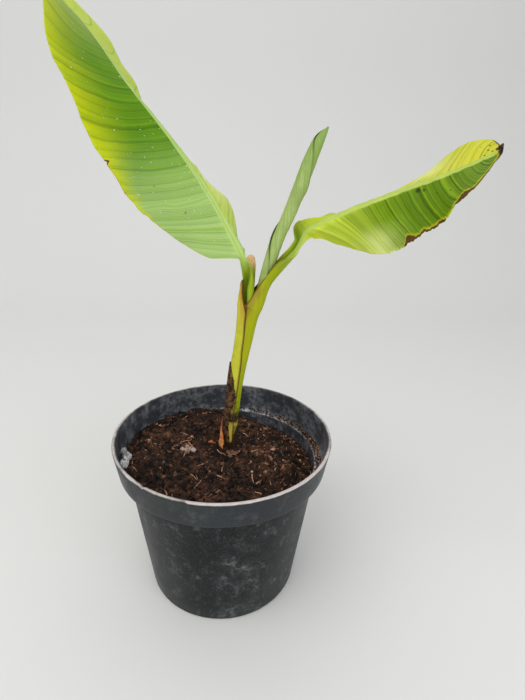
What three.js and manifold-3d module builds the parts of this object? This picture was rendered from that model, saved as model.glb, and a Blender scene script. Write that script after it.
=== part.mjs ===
// A young banana plant in a black nursery pot, in millimetres, +Z up.
// The origin is the centre of the pot's flat underside; -Y is the side that faces the viewer.
// The stem is short, leans to the right and opens at its top into an old yellow sheath, the stalk of a
// tall left leaf, a rolled young leaf and the sheath and stalk of a right leaf that points to the front.
import * as THREE from "three";
import { mergeVertices } from "three/addons/utils/BufferGeometryUtils.js";
import Module from "manifold-3d";

const wasm = await Module();
wasm.setup();

// Driving dimensions

const SEAT_GAP = 0.3; // clearance between two pieces that touch on the real plant

const POT = {
  height: 172,
  rimRadius: 110, // outer, at the top of the band
  bandHeight: 29.4,
  bandFootRadius: 105.5,
  shoulderRadius: 97, // body, just under the band
  baseRadius: 78.4,
  baseRound: 3,
  wall: 2.4,
  lipThickness: 4,
  floor: 3.4,
  drainHoles: 8,
  drainRadius: 5.5,
  drainCircle: 60,
  segments: 56,
};
POT.bandFoot = POT.height - POT.bandHeight;
POT.ledge = POT.bandFoot + POT.wall; // inner step where the band begins

const SOIL = {
  top: 146,
  relief: 1.3, // height of its low mounds
  spread: 101.4, // it covers the step nearly to the band
  bareSpread: 95.6, // but leaves the step bare on the right
  bareAt: 0.35, // radians from +X
  bareWidth: 0.75,
  rings: 6,
  segments: 44,
};

// Centre line of the stem, from the flat cut on the soil up to the fork
const STEM = {
  axis: [
    [7.2, 11, SOIL.top + SEAT_GAP],
    [9.6, 10.8, 200],
    [16.5, 10.4, 252],
    [26.8, 9.2, 304],
  ],
  footHalf: 7.1,
  forkHalf: 12.2,
  depthShare: 0.86, // front to back against left to right
};

const YELLOW_SHEATH = {
  axis: [
    [12.4, 10.5, 224],
    [17.6, 10.2, 255],
    [22.7, 9.8, 284],
    [25.4, 9, 306],
    [26.2, 8, 330],
  ],
  wall: 1.7,
  proud: 0.25, // how far it stands out of the stem's own surface
  forkAt: 0.75, // share of its length that lies on the stem
  frontSeam: [64, 112], // degrees from the right side, at its foot and at the fork
  backSeam: [262, 238],
};

const DEAD_SHEATH = {
  from: 147,
  to: 243,
  wall: 1.4,
  proud: 0.5,
  frontSeam: 92,
  backSeam: 250,
};

const ORANGE_SHEATH = {
  from: 147.4,
  to: 178,
  wall: 1.2,
  proud: 2.0,
  frontSeam: 158,
  backSeam: 204,
};

const RIGHT_STALK = {
  axis: [
    [26.4, 9.2, 302.5],
    [34.0, 8.2, 319],
    [43.5, 6.6, 334.5],
    [53.6, 5.0, 347.8],
    [64.0, 3.2, 361.6],
    [74.6, 1.0, 377.2],
  ],
  wall: 2.2,
};

const LEFT_STALK = {
  axis: [
    [22.9, 9.0, 303],
    [24.9, 7.5, 317],
    [23.8, 7.0, 330],
    [20.8, 7.4, 341],
    [18.3, 8.4, 349.2],
  ],
  wall: 1.7,
  openFrom: 98, // degrees: the gutter is open between these, towards the front left
  openTo: 208,
};

const SPEAR = {
  axis: [
    [33.2, 9.6, 303],
    [39.6, 10, 333],
    [48.0, 11, 363],
    [59.6, 12.8, 392],
    [70.6, 14.6, 421],
    [80.2, 16, 446],
    [88.6, 16, 459.5],
  ],
  footRadius: 4.3,
  fullRadius: 7.3,
  tipRadius: 0.7,
};

const DRY_STUB = {
  axis: [
    [27.6, 19.5, 300],
    [28.2, 17.2, 318],
    [27.2, 15.0, 336],
    [25.8, 14.2, 350],
  ],
  footHalf: 1.6,
  topHalf: 3.8,
};

const DRY_FLAP = {
  axis: [
    [0.8, -0.4, 147.5],
    [6.5, -1.4, 147.3],
    [12.5, -1.2, 147.3],
    [17.6, 0.6, 147.5],
  ],
  half: 3,
  thickness: 0.9,
};

// A blade hangs from its midrib in two halves. Angles are radians and each pair or triple is the
// value at the blade's foot, its middle and its tip: roll turns both halves about the midrib, and a
// fold of less than zero drops a half below the level of the midrib.
const LEFT_LEAF = {
  midrib: [
    [18.6, 8.2, 348.4],
    [-10.8, 22.6, 399.6],
    [-45.1, 37.0, 446.2],
    [-82.0, 51.4, 489.4],
    [-115.8, 65.8, 532.6],
    [-155.8, 80.0, 569.2],
  ],
  halfWidth: 66.3,
  fullFrom: 0.5,
  fullTo: 0.7,
  tipPower: 2,
  roll: [-0.672, -0.095, 0.482],
  foldLeft: [-0.865, -0.38, 0.108],
  foldRight: [-0.529, -0.519, 0.597],
  tuckRight: 0.6, // the right half folds down further where it leaves the stalk
  curl: 0.02,
  thickness: 3.2,
  ribRadius: [4.0, 1.5],
};

const RIGHT_LEAF = {
  midrib: [
    [73.4, 1.6, 376.5],
    [108.8, -17.2, 396.8],
    [141.9, -36.5, 413.7],
    [170.8, -55.8, 428.6],
    [194.1, -75.0, 443.8],
  ],
  halfWidth: 45.9,
  fullFrom: 0.384,
  fullTo: 0.573,
  tipPower: 1.5,
  roll: [0.442, 0.456, 0.47],
  foldLeft: [-1.076, -0.314, 0.449], // the back half
  foldRight: [-1.7, -0.844, 0.18], // the front half
  tuckRight: 0,
  curl: -0.1,
  thickness: 2.4,
  ribRadius: [4.2, 1.3],
};

// Small helpers

const vec = ([x, y, z]) => new THREE.Vector3(x, y, z);
const lerp = THREE.MathUtils.lerp;
const rad = THREE.MathUtils.degToRad;
const smooth = THREE.MathUtils.smoothstep;

// A smooth curve through the points, its two ends moved outwards by extra
function curveThrough(axis, extra = 0) {
  const points = axis.map(vec);
  const stretch = (end, next) => {
    const away = end.clone().sub(next).normalize();
    end.addScaledVector(away, extra);
  };
  stretch(points[0], points[1]);
  stretch(points.at(-1), points.at(-2));
  return new THREE.CatmullRomCurve3(points, false, "catmullrom", 0.5);
}

// The parabola through three values at the start, the middle and the end
function bend([start, middle, end], t) {
  return (
    start * (1 - t) * (1 - 2 * t) + middle * 4 * t * (1 - t) + end * t * (2 * t - 1)
  );
}

// A closed solid from a geometry, turned outwards where its faces point in
function solidOf(geometry) {
  const bare = new THREE.BufferGeometry();
  bare.setAttribute("position", geometry.getAttribute("position"));
  if (geometry.index) bare.setIndex(geometry.index);
  const merged = mergeVertices(bare, 1e-3);
  const make = (triVerts) =>
    new wasm.Manifold(
      new wasm.Mesh({
        numProp: 3,
        vertProperties: new Float32Array(merged.attributes.position.array),
        triVerts,
      }),
    );
  const faces = new Uint32Array(merged.index.array);
  const made = make(faces);
  return made.volume() < 0 ? make(faces.reverse()) : made;
}

function geometryOf(solid) {
  const { numProp, vertProperties, triVerts } = solid.getMesh();
  const count = vertProperties.length / numProp;
  const position = new Float32Array(count * 3);
  for (let i = 0; i < count; i++) {
    position.set(vertProperties.subarray(i * numProp, i * numProp + 3), i * 3);
  }
  const geometry = new THREE.BufferGeometry();
  geometry.setAttribute("position", new THREE.BufferAttribute(position, 3));
  geometry.setIndex(new THREE.BufferAttribute(new Uint32Array(triVerts), 1));
  return geometry.toNonIndexed();
}

// A solid with its neighbours cut out of it. Slivers that the cuts leave are dropped.
function carve(solid, ...neighbours) {
  const cut = neighbours.reduce((left, tool) => left.subtract(tool), solid);
  return cut.decompose().sort((a, b) => b.volume() - a.volume())[0];
}

// A closed skin over a grid of rings: each ring is a closed loop of points. The ends are closed by
// endFaces, which lists the triangles of one ring.
function skin(rings, endFaces) {
  const around = rings[0].length;
  const index = [];
  for (let i = 0; i + 1 < rings.length; i++) {
    for (let j = 0; j < around; j++) {
      const a = i * around + j;
      const b = i * around + ((j + 1) % around);
      index.push(a, b, b + around, a, b + around, a + around);
    }
  }
  const last = (rings.length - 1) * around;
  for (const [a, b, c] of endFaces) {
    index.push(a, c, b, last + a, last + b, last + c);
  }
  const geometry = new THREE.BufferGeometry().setFromPoints(rings.flat());
  geometry.setIndex(index);
  return solidOf(geometry);
}

const fanFaces = (around) =>
  Array.from({ length: around - 2 }, (_, j) => [0, j + 1, j + 2]);

// Along a stalk the section is measured rightwards and towards the front, square to the curve
function stalkFrame(curve, t) {
  const tangent = curve.getTangent(t);
  const front = new THREE.Vector3(0, -1, 0);
  front.addScaledVector(tangent, -front.dot(tangent)).normalize();
  const right = new THREE.Vector3().crossVectors(tangent, front);
  return { centre: curve.getPoint(t), right, front };
}

function sectionPoint(frame, alongRight, alongFront) {
  return frame.centre
    .clone()
    .addScaledVector(frame.right, alongRight)
    .addScaledVector(frame.front, alongFront);
}

// A solid stalk: section(t) gives its half width, half depth and sideways shift
function stalk(curve, section, steps, around) {
  const rings = [];
  for (let i = 0; i <= steps; i++) {
    const t = i / steps;
    const frame = stalkFrame(curve, t);
    const { half, depth, shift = 0 } = section(t);
    const ring = [];
    for (let j = 0; j < around; j++) {
      const angle = (2 * Math.PI * j) / around;
      ring.push(
        sectionPoint(frame, shift + half * Math.cos(angle), depth * Math.sin(angle)),
      );
    }
    rings.push(ring);
  }
  return skin(rings, fanFaces(around));
}

// A wrapped sheath: an arc of an elliptical shell, from one seam to the other, along the curve.
// With extra it is grown on every side, to cut its own room out of a neighbour.
function sheath(curve, section, steps, around, extra = 0) {
  const rings = [];
  for (let i = 0; i <= steps; i++) {
    const t = i / steps;
    const frame = stalkFrame(curve, t);
    const { half, depth, wall, from, to } = section(t);
    const margin = THREE.MathUtils.radToDeg(extra / half);
    const outer = [];
    const inner = [];
    for (let j = 0; j <= around; j++) {
      const angle = rad(lerp(from - margin, to + margin, j / around));
      const [c, s] = [Math.cos(angle), Math.sin(angle)];
      const within = wall + extra;
      outer.push(sectionPoint(frame, (half + extra) * c, (depth + extra) * s));
      inner.push(sectionPoint(frame, (half - within) * c, (depth - within) * s));
    }
    rings.push([...outer, ...inner.reverse()]);
  }
  const count = 2 * (around + 1);
  const ends = [];
  for (let j = 0; j < around; j++) {
    ends.push([j, j + 1, count - 2 - j], [j, count - 2 - j, count - 1 - j]);
  }
  return skin(rings, ends);
}

// Pot

function potSolid() {
  const inner = (outer) => outer - POT.wall;
  const lip = POT.rimRadius - POT.lipThickness;
  const profile = new THREE.Path();
  profile.moveTo(0, 0);
  profile.lineTo(POT.baseRadius - POT.baseRound, 0);
  profile.quadraticCurveTo(POT.baseRadius, 0, POT.baseRadius + 0.4, POT.baseRound);
  profile.lineTo(POT.shoulderRadius, POT.bandFoot);
  profile.lineTo(POT.bandFootRadius - 0.8, POT.bandFoot);
  profile.lineTo(POT.bandFootRadius, POT.bandFoot + 0.8);
  profile.lineTo(POT.rimRadius, POT.height - 1.2);
  profile.lineTo(POT.rimRadius - 1, POT.height);
  profile.lineTo(lip + 0.8, POT.height);
  profile.lineTo(lip, POT.height - 0.9);
  profile.lineTo(inner(POT.bandFootRadius), POT.ledge);
  profile.lineTo(inner(POT.shoulderRadius), POT.ledge);
  profile.lineTo(inner(POT.baseRadius), POT.floor);
  profile.lineTo(0, POT.floor);
  const turned = new THREE.LatheGeometry(profile.getPoints(4), POT.segments);
  let pot = solidOf(turned.rotateX(Math.PI / 2));
  for (let i = 0; i < POT.drainHoles; i++) {
    const turn = (2 * Math.PI * i) / POT.drainHoles;
    const hole = new THREE.CylinderGeometry(POT.drainRadius, POT.drainRadius, 12, 12);
    hole.rotateX(Math.PI / 2);
    hole.translate(POT.drainCircle * Math.cos(turn), POT.drainCircle * Math.sin(turn), 0);
    pot = pot.subtract(solidOf(hole));
  }
  return pot;
}

// Soil: low mounds, level round the foot of the stem and at the wall, down to the pot's floor

function soilHeight(x, y) {
  const [footX, footY] = STEM.axis[0];
  const atFoot = smooth(Math.hypot(x - footX, y - footY), 16, 44);
  const level = atFoot * (1 - smooth(Math.hypot(x, y), 72, 92));
  const mounds =
    0.6 * Math.sin(x / 17 + 1.1) * Math.cos(y / 21) + 0.4 * Math.sin((x - y) / 13);
  return SOIL.top + SOIL.relief * mounds * level;
}

function soilSpread(angle) {
  const away = Math.atan2(Math.sin(angle - SOIL.bareAt), Math.cos(angle - SOIL.bareAt));
  const bare = Math.exp(-((away / SOIL.bareWidth) ** 2));
  return lerp(SOIL.spread, SOIL.bareSpread, bare);
}

function soilSolid() {
  const bodyRadius = POT.shoulderRadius - POT.wall - SEAT_GAP;
  const footRadius = POT.baseRadius - POT.wall - SEAT_GAP;
  const shelf = POT.ledge + SEAT_GAP;
  const foot = POT.floor + SEAT_GAP;
  const points = [new THREE.Vector3(0, 0, foot), new THREE.Vector3(0, 0, soilHeight(0, 0))];
  const levels = SOIL.rings + 3;
  for (let j = 0; j < SOIL.segments; j++) {
    const angle = (2 * Math.PI * j) / SOIL.segments;
    const [c, s] = [Math.cos(angle), Math.sin(angle)];
    const spread = soilSpread(angle);
    for (let i = 1; i <= SOIL.rings; i++) {
      const r = (spread * i) / SOIL.rings;
      points.push(new THREE.Vector3(r * c, r * s, soilHeight(r * c, r * s)));
    }
    points.push(new THREE.Vector3(spread * c, spread * s, shelf));
    points.push(new THREE.Vector3(bodyRadius * c, bodyRadius * s, shelf));
    points.push(new THREE.Vector3(footRadius * c, footRadius * s, foot));
  }
  const index = [];
  for (let j = 0; j < SOIL.segments; j++) {
    const a = 2 + j * levels;
    const b = 2 + ((j + 1) % SOIL.segments) * levels;
    index.push(1, a, b);
    for (let i = 0; i + 1 < levels; i++) {
      index.push(a + i, a + i + 1, b + i + 1, a + i, b + i + 1, b + i);
    }
    index.push(0, b + levels - 1, a + levels - 1);
  }
  const geometry = new THREE.BufferGeometry().setFromPoints(points);
  geometry.setIndex(index);
  return solidOf(geometry);
}

// Stem and its sheaths

const stemCurve = curveThrough(STEM.axis);

function stemHalf(t) {
  return lerp(STEM.footHalf, STEM.forkHalf, t ** 3);
}

// Where along the stem a height lies: the axis points are nearly evenly spaced in height
function stemAt(height) {
  let [low, high] = [0, 1];
  for (let i = 0; i < 24; i++) {
    const middle = (low + high) / 2;
    if (stemCurve.getPoint(middle).z < height) low = middle;
    else high = middle;
  }
  return low;
}

function stemBody(extra = 0) {
  const section = (t) => {
    const half = stemHalf(t) + extra;
    return { half, depth: half * STEM.depthShare };
  };
  return stalk(curveThrough(STEM.axis, extra), section, 12, 16);
}

// Everything under the flat cut on the soil
function underCut() {
  const block = new THREE.BoxGeometry(80, 80, 20);
  block.translate(0, 0, SOIL.top + SEAT_GAP - 10);
  return solidOf(block);
}

function stemSolid() {
  const wraps = [yellowSheathBody(SEAT_GAP), deadSheathBody(DEAD_SHEATH, SEAT_GAP)];
  return carve(stemBody(), ...wraps, underCut());
}

function yellowSheathBody(extra = 0) {
  const footAt = stemAt(YELLOW_SHEATH.axis[0][2]);
  const section = (t) => {
    const upTo = Math.min(t / YELLOW_SHEATH.forkAt, 1);
    const half = stemHalf(lerp(footAt, 1, upTo)) + YELLOW_SHEATH.proud;
    const foot = 0.75 * (1 - smooth(t, 0, 0.16));
    const point = smooth(t, YELLOW_SHEATH.forkAt, 1);
    const frontSeam = lerp(...YELLOW_SHEATH.frontSeam, upTo);
    const backSeam = lerp(...YELLOW_SHEATH.backSeam, upTo);
    return {
      half,
      depth: half * STEM.depthShare,
      wall: YELLOW_SHEATH.wall,
      from: lerp(lerp(frontSeam, 168, foot), 176, point),
      to: lerp(lerp(backSeam, 192, foot), 186, point),
    };
  };
  return sheath(curveThrough(YELLOW_SHEATH.axis, extra), section, 13, 7, extra);
}

function yellowSheathSolid() {
  return carve(yellowSheathBody(), deadSheathBody(DEAD_SHEATH, SEAT_GAP));
}

// A dead sheath on the lower stem: its top end narrows to a point
function deadSheathBody(size, extra = 0) {
  const [start, end] = [stemAt(size.from), stemAt(size.to)];
  const shares = [0, 1 / 3, 2 / 3, 1];
  const axis = shares.map((share) => stemCurve.getPoint(lerp(start, end, share)).toArray());
  const middle = (size.frontSeam + size.backSeam) / 2;
  const section = (t) => {
    const half = stemHalf(lerp(start, end, t)) + size.proud;
    const point = 0.9 * smooth(t, 0.55, 1);
    return {
      half,
      depth: half * STEM.depthShare,
      wall: size.wall,
      from: lerp(size.frontSeam, middle, point),
      to: lerp(size.backSeam, middle, point),
    };
  };
  return sheath(curveThrough(axis, extra), section, 9, 6, extra);
}

function deadSheathSolid(size) {
  return carve(deadSheathBody(size), underCut());
}

// Stalks of the two open leaves, the rolled leaf, and the dry remains

function spearBody(extra = 0) {
  const section = (t) => {
    const swell = lerp(SPEAR.footRadius, SPEAR.fullRadius, smooth(t, 0, 0.5));
    const end = Math.max(0, (t - 0.66) / 0.34);
    const radius = Math.max(SPEAR.tipRadius, swell * Math.sqrt(1 - Math.min(end, 1) ** 2));
    return { half: radius + extra, depth: radius + extra };
  };
  return stalk(curveThrough(SPEAR.axis, extra), section, 20, 12);
}

function spearSolid() {
  return carve(spearBody(), stemBody(SEAT_GAP));
}

function leftStalkSection(t) {
  const half = bend([3.4, 5.3, 3.1], t);
  return {
    half,
    depth: half * 0.92,
    wall: LEFT_STALK.wall,
    from: LEFT_STALK.openTo - 360,
    to: LEFT_STALK.openFrom,
  };
}

function leftStalkSolid() {
  const body = sheath(curveThrough(LEFT_STALK.axis), leftStalkSection, 9, 9);
  return carve(body, stemBody(SEAT_GAP), spearBody(SEAT_GAP), yellowSheathBody(SEAT_GAP));
}

// The whole round space that a stalk takes, its gutter filled
function filled(sectionAt) {
  return (t) => {
    const { half, depth } = sectionAt(t);
    return { half: half + SEAT_GAP, depth: depth + SEAT_GAP };
  };
}

function leftStalkRoom() {
  const section = filled(leftStalkSection);
  return stalk(curveThrough(LEFT_STALK.axis, SEAT_GAP), section, 9, 12);
}

// It wraps the rolled leaf and the left stalk at the fork and narrows to a gutter that opens upwards
function rightStalkSection(t) {
  const wrap = 1 - smooth(t, 0, 0.36);
  const flare = smooth(t, 0.72, 1);
  const half = lerp(5.9, STEM.forkHalf, wrap) - 1.2 * flare;
  return {
    half,
    depth: half * lerp(0.95, STEM.depthShare, wrap),
    wall: RIGHT_STALK.wall,
    from: lerp(-140, -150, wrap) + 30 * flare,
    to: lerp(138, 168, wrap) - 30 * flare,
  };
}

function rightStalkRoom() {
  return stalk(curveThrough(RIGHT_STALK.axis, SEAT_GAP), filled(rightStalkSection), 14, 14);
}

function rightStalkBody(extra = 0) {
  const section = rightStalkSection;
  return sheath(curveThrough(RIGHT_STALK.axis, extra), section, 14, 10, extra);
}

function rightStalkSolid() {
  const neighbours = [stemBody(SEAT_GAP), yellowSheathBody(SEAT_GAP), spearBody(SEAT_GAP)];
  return carve(rightStalkBody(), ...neighbours, leftStalkRoom());
}

function dryStubSolid() {
  const section = (t) => {
    const half = lerp(DRY_STUB.footHalf, DRY_STUB.topHalf, smooth(t, 0.3, 1));
    return { half, depth: half * 0.4 };
  };
  const body = stalk(curveThrough(DRY_STUB.axis), section, 8, 8);
  const neighbours = [stemBody(SEAT_GAP), spearBody(SEAT_GAP), rightStalkBody(SEAT_GAP)];
  return carve(body, ...neighbours, leftStalkRoom());
}

function dryFlapSolid() {
  const section = (t) => {
    const narrowing = Math.sqrt(Math.max(0.05, 1 - (2 * t - 1) ** 2));
    return { half: DRY_FLAP.thickness, depth: DRY_FLAP.half * narrowing };
  };
  return stalk(curveThrough(DRY_FLAP.axis), section, 8, 8);
}

// Blades

// Share of the full half width along the blade: round at the foot, blunt at the tip
function bladeShare(leaf, t) {
  const foot = Math.max(0, 1 - t / leaf.fullFrom);
  const tip = Math.max(0, (t - leaf.fullTo) / (1 - leaf.fullTo));
  return Math.sqrt((1 - foot ** 2) * (1 - tip ** leaf.tipPower));
}

// The midrib's own frame: up is square to it, and roll turns up towards the right-hand side
function midribFrame(leaf, curve, t) {
  const tangent = curve.getTangent(t);
  const level = new THREE.Vector3(0, 0, 1).addScaledVector(tangent, -tangent.z).normalize();
  const side = new THREE.Vector3().crossVectors(tangent, level);
  const roll = bend(leaf.roll, t);
  const up = level.clone().multiplyScalar(Math.cos(roll));
  up.addScaledVector(side, Math.sin(roll));
  const right = side.clone().multiplyScalar(Math.cos(roll));
  right.addScaledVector(level, -Math.sin(roll));
  return { centre: curve.getPoint(t), up, right };
}

// One half of a blade as a thin slab. A point lies at a share of the half width from the midrib,
// along an arc that starts at the fold angle and bends by the curl.
function bladeHalf(leaf, curve, side, steps, across) {
  const rings = [];
  for (let i = 0; i <= steps; i++) {
    const t = i / steps;
    const { centre, up, right } = midribFrame(leaf, curve, t);
    const width = Math.max(1.5, leaf.halfWidth * bladeShare(leaf, t));
    const tuck = leaf.tuckRight * (1 - smooth(t, 0, 0.22));
    const fold = side < 0 ? bend(leaf.foldLeft, t) : bend(leaf.foldRight, t) - tuck;
    const upper = [];
    const lower = [];
    for (let j = 0; j <= across; j++) {
      const share = j / across;
      const chord = fold + (leaf.curl * share) / 2;
      const angle = fold + leaf.curl * share;
      const point = centre
        .clone()
        .addScaledVector(right, side * width * share * Math.cos(chord))
        .addScaledVector(up, width * share * Math.sin(chord));
      const normal = up.clone().multiplyScalar(Math.cos(angle));
      normal.addScaledVector(right, -side * Math.sin(angle));
      const thin = (leaf.thickness / 2) * lerp(1, 0.7, share);
      upper.push(point.clone().addScaledVector(normal, thin));
      lower.push(point.clone().addScaledVector(normal, -thin));
    }
    rings.push([...upper, ...lower.reverse()]);
  }
  const count = 2 * (across + 1);
  const ends = [];
  for (let j = 0; j < across; j++) {
    ends.push([j, j + 1, count - 2 - j], [j, count - 2 - j, count - 1 - j]);
  }
  return skin(rings, ends);
}

// The midrib: a tapering rib whose top is level with the blade
function rib(leaf, curve, steps, around) {
  const rings = [];
  for (let i = 0; i <= steps; i++) {
    const t = i / steps;
    const { centre, up, right } = midribFrame(leaf, curve, t);
    const radius = lerp(leaf.ribRadius[0], leaf.ribRadius[1], t);
    const ring = [];
    for (let j = 0; j < around; j++) {
      const angle = (2 * Math.PI * j) / around;
      ring.push(
        centre
          .clone()
          .addScaledVector(right, radius * Math.cos(angle))
          .addScaledVector(up, radius * (Math.sin(angle) - 0.5)),
      );
    }
    rings.push(ring);
  }
  return skin(rings, fanFaces(around));
}

// The two halves and the rib as one solid, with room left for the end of its stalk
function leafSolid(leaf, stalkEnd) {
  const curve = curveThrough(leaf.midrib);
  const blade = bladeHalf(leaf, curve, -1, 20, 3).add(bladeHalf(leaf, curve, 1, 20, 3));
  return carve(blade.add(rib(leaf, curve, 14, 8)), stalkEnd);
}

// The plant as a scene graph

const finishes = {
  plastic: { color: 0x2e3236, roughness: 0.6 },
  soil: { color: 0x3a2418, roughness: 1 },
  stemGreen: { color: 0xa3b02c, roughness: 0.5 },
  yellow: { color: 0xc9bd22, roughness: 0.55 },
  deadBrown: { color: 0x4a2f1c, roughness: 0.8 },
  orange: { color: 0xc06a1c, roughness: 0.7 },
  stalkGreen: { color: 0x8fa62a, roughness: 0.5 },
  leafGreen: { color: 0x6f9a34, roughness: 0.45 },
  leafLight: { color: 0x9dbb2a, roughness: 0.45 },
  rolledGreen: { color: 0x86a06a, roughness: 0.55 },
  dryTan: { color: 0xc79a6a, roughness: 0.85 },
};

const bananaPlant = new THREE.Group();

function addPiece(name, solid, finish) {
  const material = new THREE.MeshStandardMaterial({ metalness: 0, ...finishes[finish] });
  const mesh = new THREE.Mesh(geometryOf(solid), material);
  mesh.name = name;
  bananaPlant.add(mesh);
}

addPiece("pot", potSolid(), "plastic");
addPiece("soil", soilSolid(), "soil");
addPiece("pseudostem", stemSolid(), "stemGreen");
addPiece("yellow_sheath", yellowSheathSolid(), "yellow");
addPiece("dead_sheath", deadSheathSolid(DEAD_SHEATH), "deadBrown");
addPiece("orange_sheath", deadSheathSolid(ORANGE_SHEATH), "orange");
addPiece("right_stalk", rightStalkSolid(), "stalkGreen");
addPiece("left_stalk", leftStalkSolid(), "stalkGreen");
addPiece("rolled_leaf", spearSolid(), "rolledGreen");
addPiece("dry_stub", dryStubSolid(), "dryTan");
addPiece("dry_flap", dryFlapSolid(), "dryTan");
addPiece("left_leaf", leafSolid(LEFT_LEAF, leftStalkRoom()), "leafGreen");
addPiece("right_leaf", leafSolid(RIGHT_LEAF, rightStalkRoom()), "leafLight");

export default bananaPlant;
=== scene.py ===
"""A young banana plant in a black nursery pot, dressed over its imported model.

Lengths are millimetres while a shape is worked out and metres in Blender. +Z is up, -Y faces the
viewer, and the origin is the centre of the pot's flat underside.
"""

import itertools
import math

import bpy
import mathutils
import numpy as np
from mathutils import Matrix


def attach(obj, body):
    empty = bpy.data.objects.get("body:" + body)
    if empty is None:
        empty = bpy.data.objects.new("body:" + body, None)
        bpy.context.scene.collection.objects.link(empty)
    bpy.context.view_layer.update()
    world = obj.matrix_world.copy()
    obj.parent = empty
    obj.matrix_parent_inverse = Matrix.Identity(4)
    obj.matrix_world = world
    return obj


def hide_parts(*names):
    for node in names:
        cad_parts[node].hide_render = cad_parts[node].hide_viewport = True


bl_info = {
    "name": "Potted Banana Plant",
    "version": (1, 0, 0),
    "blender": (4, 5, 0),
    "location": "View3D > Sidebar > Banana Plant",
    "description": "Builds a young banana plant in a nursery pot round its packed model",
    "category": "Add Mesh",
}

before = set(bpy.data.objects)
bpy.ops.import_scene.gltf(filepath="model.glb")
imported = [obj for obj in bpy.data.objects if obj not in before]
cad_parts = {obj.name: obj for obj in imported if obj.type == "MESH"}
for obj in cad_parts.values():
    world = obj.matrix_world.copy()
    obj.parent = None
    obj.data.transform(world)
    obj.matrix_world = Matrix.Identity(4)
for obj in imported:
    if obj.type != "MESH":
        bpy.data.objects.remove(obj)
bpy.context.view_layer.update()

MM = 0.001
TAU = 2 * math.pi
SOIL_TOP = 146.0
LEDGE = 145.0

# Spines run through points in mm. Half widths are at the foot and the fork, and the stem is less
# deep than wide.
STEM_AXIS = [[7.2, 11, 146.3], [9.6, 10.8, 200], [16.5, 10.4, 252], [26.8, 9.2, 304]]
STEM_HALF = (7.1, 12.2)
STEM_DEPTH = 0.86
STEM_ROWS = 84
FORK_HEIGHT = 304.0

YELLOW_AXIS = [
    [7.3, 11.0, 149], [8.5, 10.9, 184], [12.0, 10.6, 222], [17.6, 10.2, 255], [22.7, 9.8, 284],
    [25.4, 9, 306], [26.2, 8, 330],
]
RIGHT_STALK_AXIS = [
    [26.4, 9.2, 302.5], [34.0, 8.2, 319], [43.5, 6.6, 334.5], [53.6, 5.0, 347.8],
    [64.0, 3.2, 361.6], [74.6, 1.0, 377.2],
]
LEFT_STALK_AXIS = [
    [21.2, 9.6, 287], [22.4, 9.0, 303], [22.7, 7.6, 317], [22.0, 7.0, 330], [19.6, 7.4, 341],
    [18.3, 8.4, 349.2],
]
SPEAR_AXIS = [
    [33.2, 9.6, 303], [39.6, 10, 333], [48.0, 11, 363], [59.6, 12.8, 392], [70.6, 14.6, 421],
    [80.2, 16, 446], [88.6, 16, 459.5],
]
STUB_AXIS = [[27.0, 19.5, 300], [27.2, 17.2, 318], [26.0, 15.0, 337], [24.6, 14.2, 351]]
FLAP_AXIS = [[3.2, -0.6, 147.5], [7.4, -1.6, 147.5], [12.5, -1.4, 147.5], [17.2, 0.4, 147.8]]

# Front margins of two sheaths: heights in mm, and degrees from the stem's right towards its front.
SEAM_HEIGHTS = [149, 185, 224, 262, 288, 301, 309, 318]
SEAM_ANGLES = [88, 74, 67, 89, 104, 112, 125, 144]
DEAD_SEAM_HEIGHTS = [147, 166, 172, 186, 206, 226, 238, 245]
DEAD_SEAM_ANGLES = [126, 127, 124, 104, 80, 104, 136, 170]

# The rolled leaf, by share of its length: radii in mm, and degrees at which its outer edge stands.
ROLL_TURNS = 1.42
ROLL_PLACES = [0, 0.15, 0.25, 0.35, 0.44, 0.58, 0.65, 0.7, 0.75, 0.8, 0.84, 0.9, 0.95, 1]
ROLL_RADII = [4.6, 5.9, 6.1, 5.8, 6.05, 6.45, 6.6, 6.5, 6.2, 5.75, 5.2, 3.7, 2.3, 0.6]
EDGE_PLACES = [0, 0.145, 0.235, 0.347, 0.44, 0.55, 0.62, 0.68, 0.775, 0.865, 1]
EDGE_ANGLES = [80, 88, 97, 178, 235, 320, 388, 420, 455, 530, 590]

# What shapes a leaf. Roll and fold are radians at foot, middle and tip, and 1 is the side right of
# the midrib. Opens, unrolls, settles, greens and the first rows of foot_reach and cup are mm from the
# blade's foot. Rib, keel, crown, pleat and ripple are mm, and pairs go from foot to tip.
LEFT_LEAF = dict(
    midrib=[
        [18.6, 8.2, 348.4], [-10.8, 22.6, 399.6], [-45.1, 37.0, 446.2], [-82.0, 51.4, 489.4],
        [-115.8, 65.8, 532.6], [-155.8, 80.0, 569.2],
    ],
    half_width=66.3, full_from=0.5, full_to=0.7, tip_power=2.0, roll=(-0.672, -0.095, 0.482),
    fold={-1: (-0.865, -0.38, 0.108), 1: (-0.529, -0.519, 0.597)}, tuck=0.6, curl=0.02,
    rib=(3.5, 1.4), keel=(3.4, 1.6), veins=31.0, vein_lead=(0.09, 0.09), pleat=0.3,
    ripple=(1.5, 5.3), smooth_foot=(-0.02, 0.16), greens=(-16.0, 8.0), opens=(-5.0, 16.0),
    foot_reach=dict.fromkeys((-1, 1), ((0,), (1.2,))), unrolls=(-5.0, 9.0),
    settles=dict.fromkeys((-1, 1), (-6.0, 12.0)), cup=dict.fromkeys((-1, 1), ((0,), (0.0,))),
    crown=0.6, rib_groove=0.9, far_calm=1.0, pale=(0.1, 0.46), pale_from=(-12.0, -2.0),
)

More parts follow.
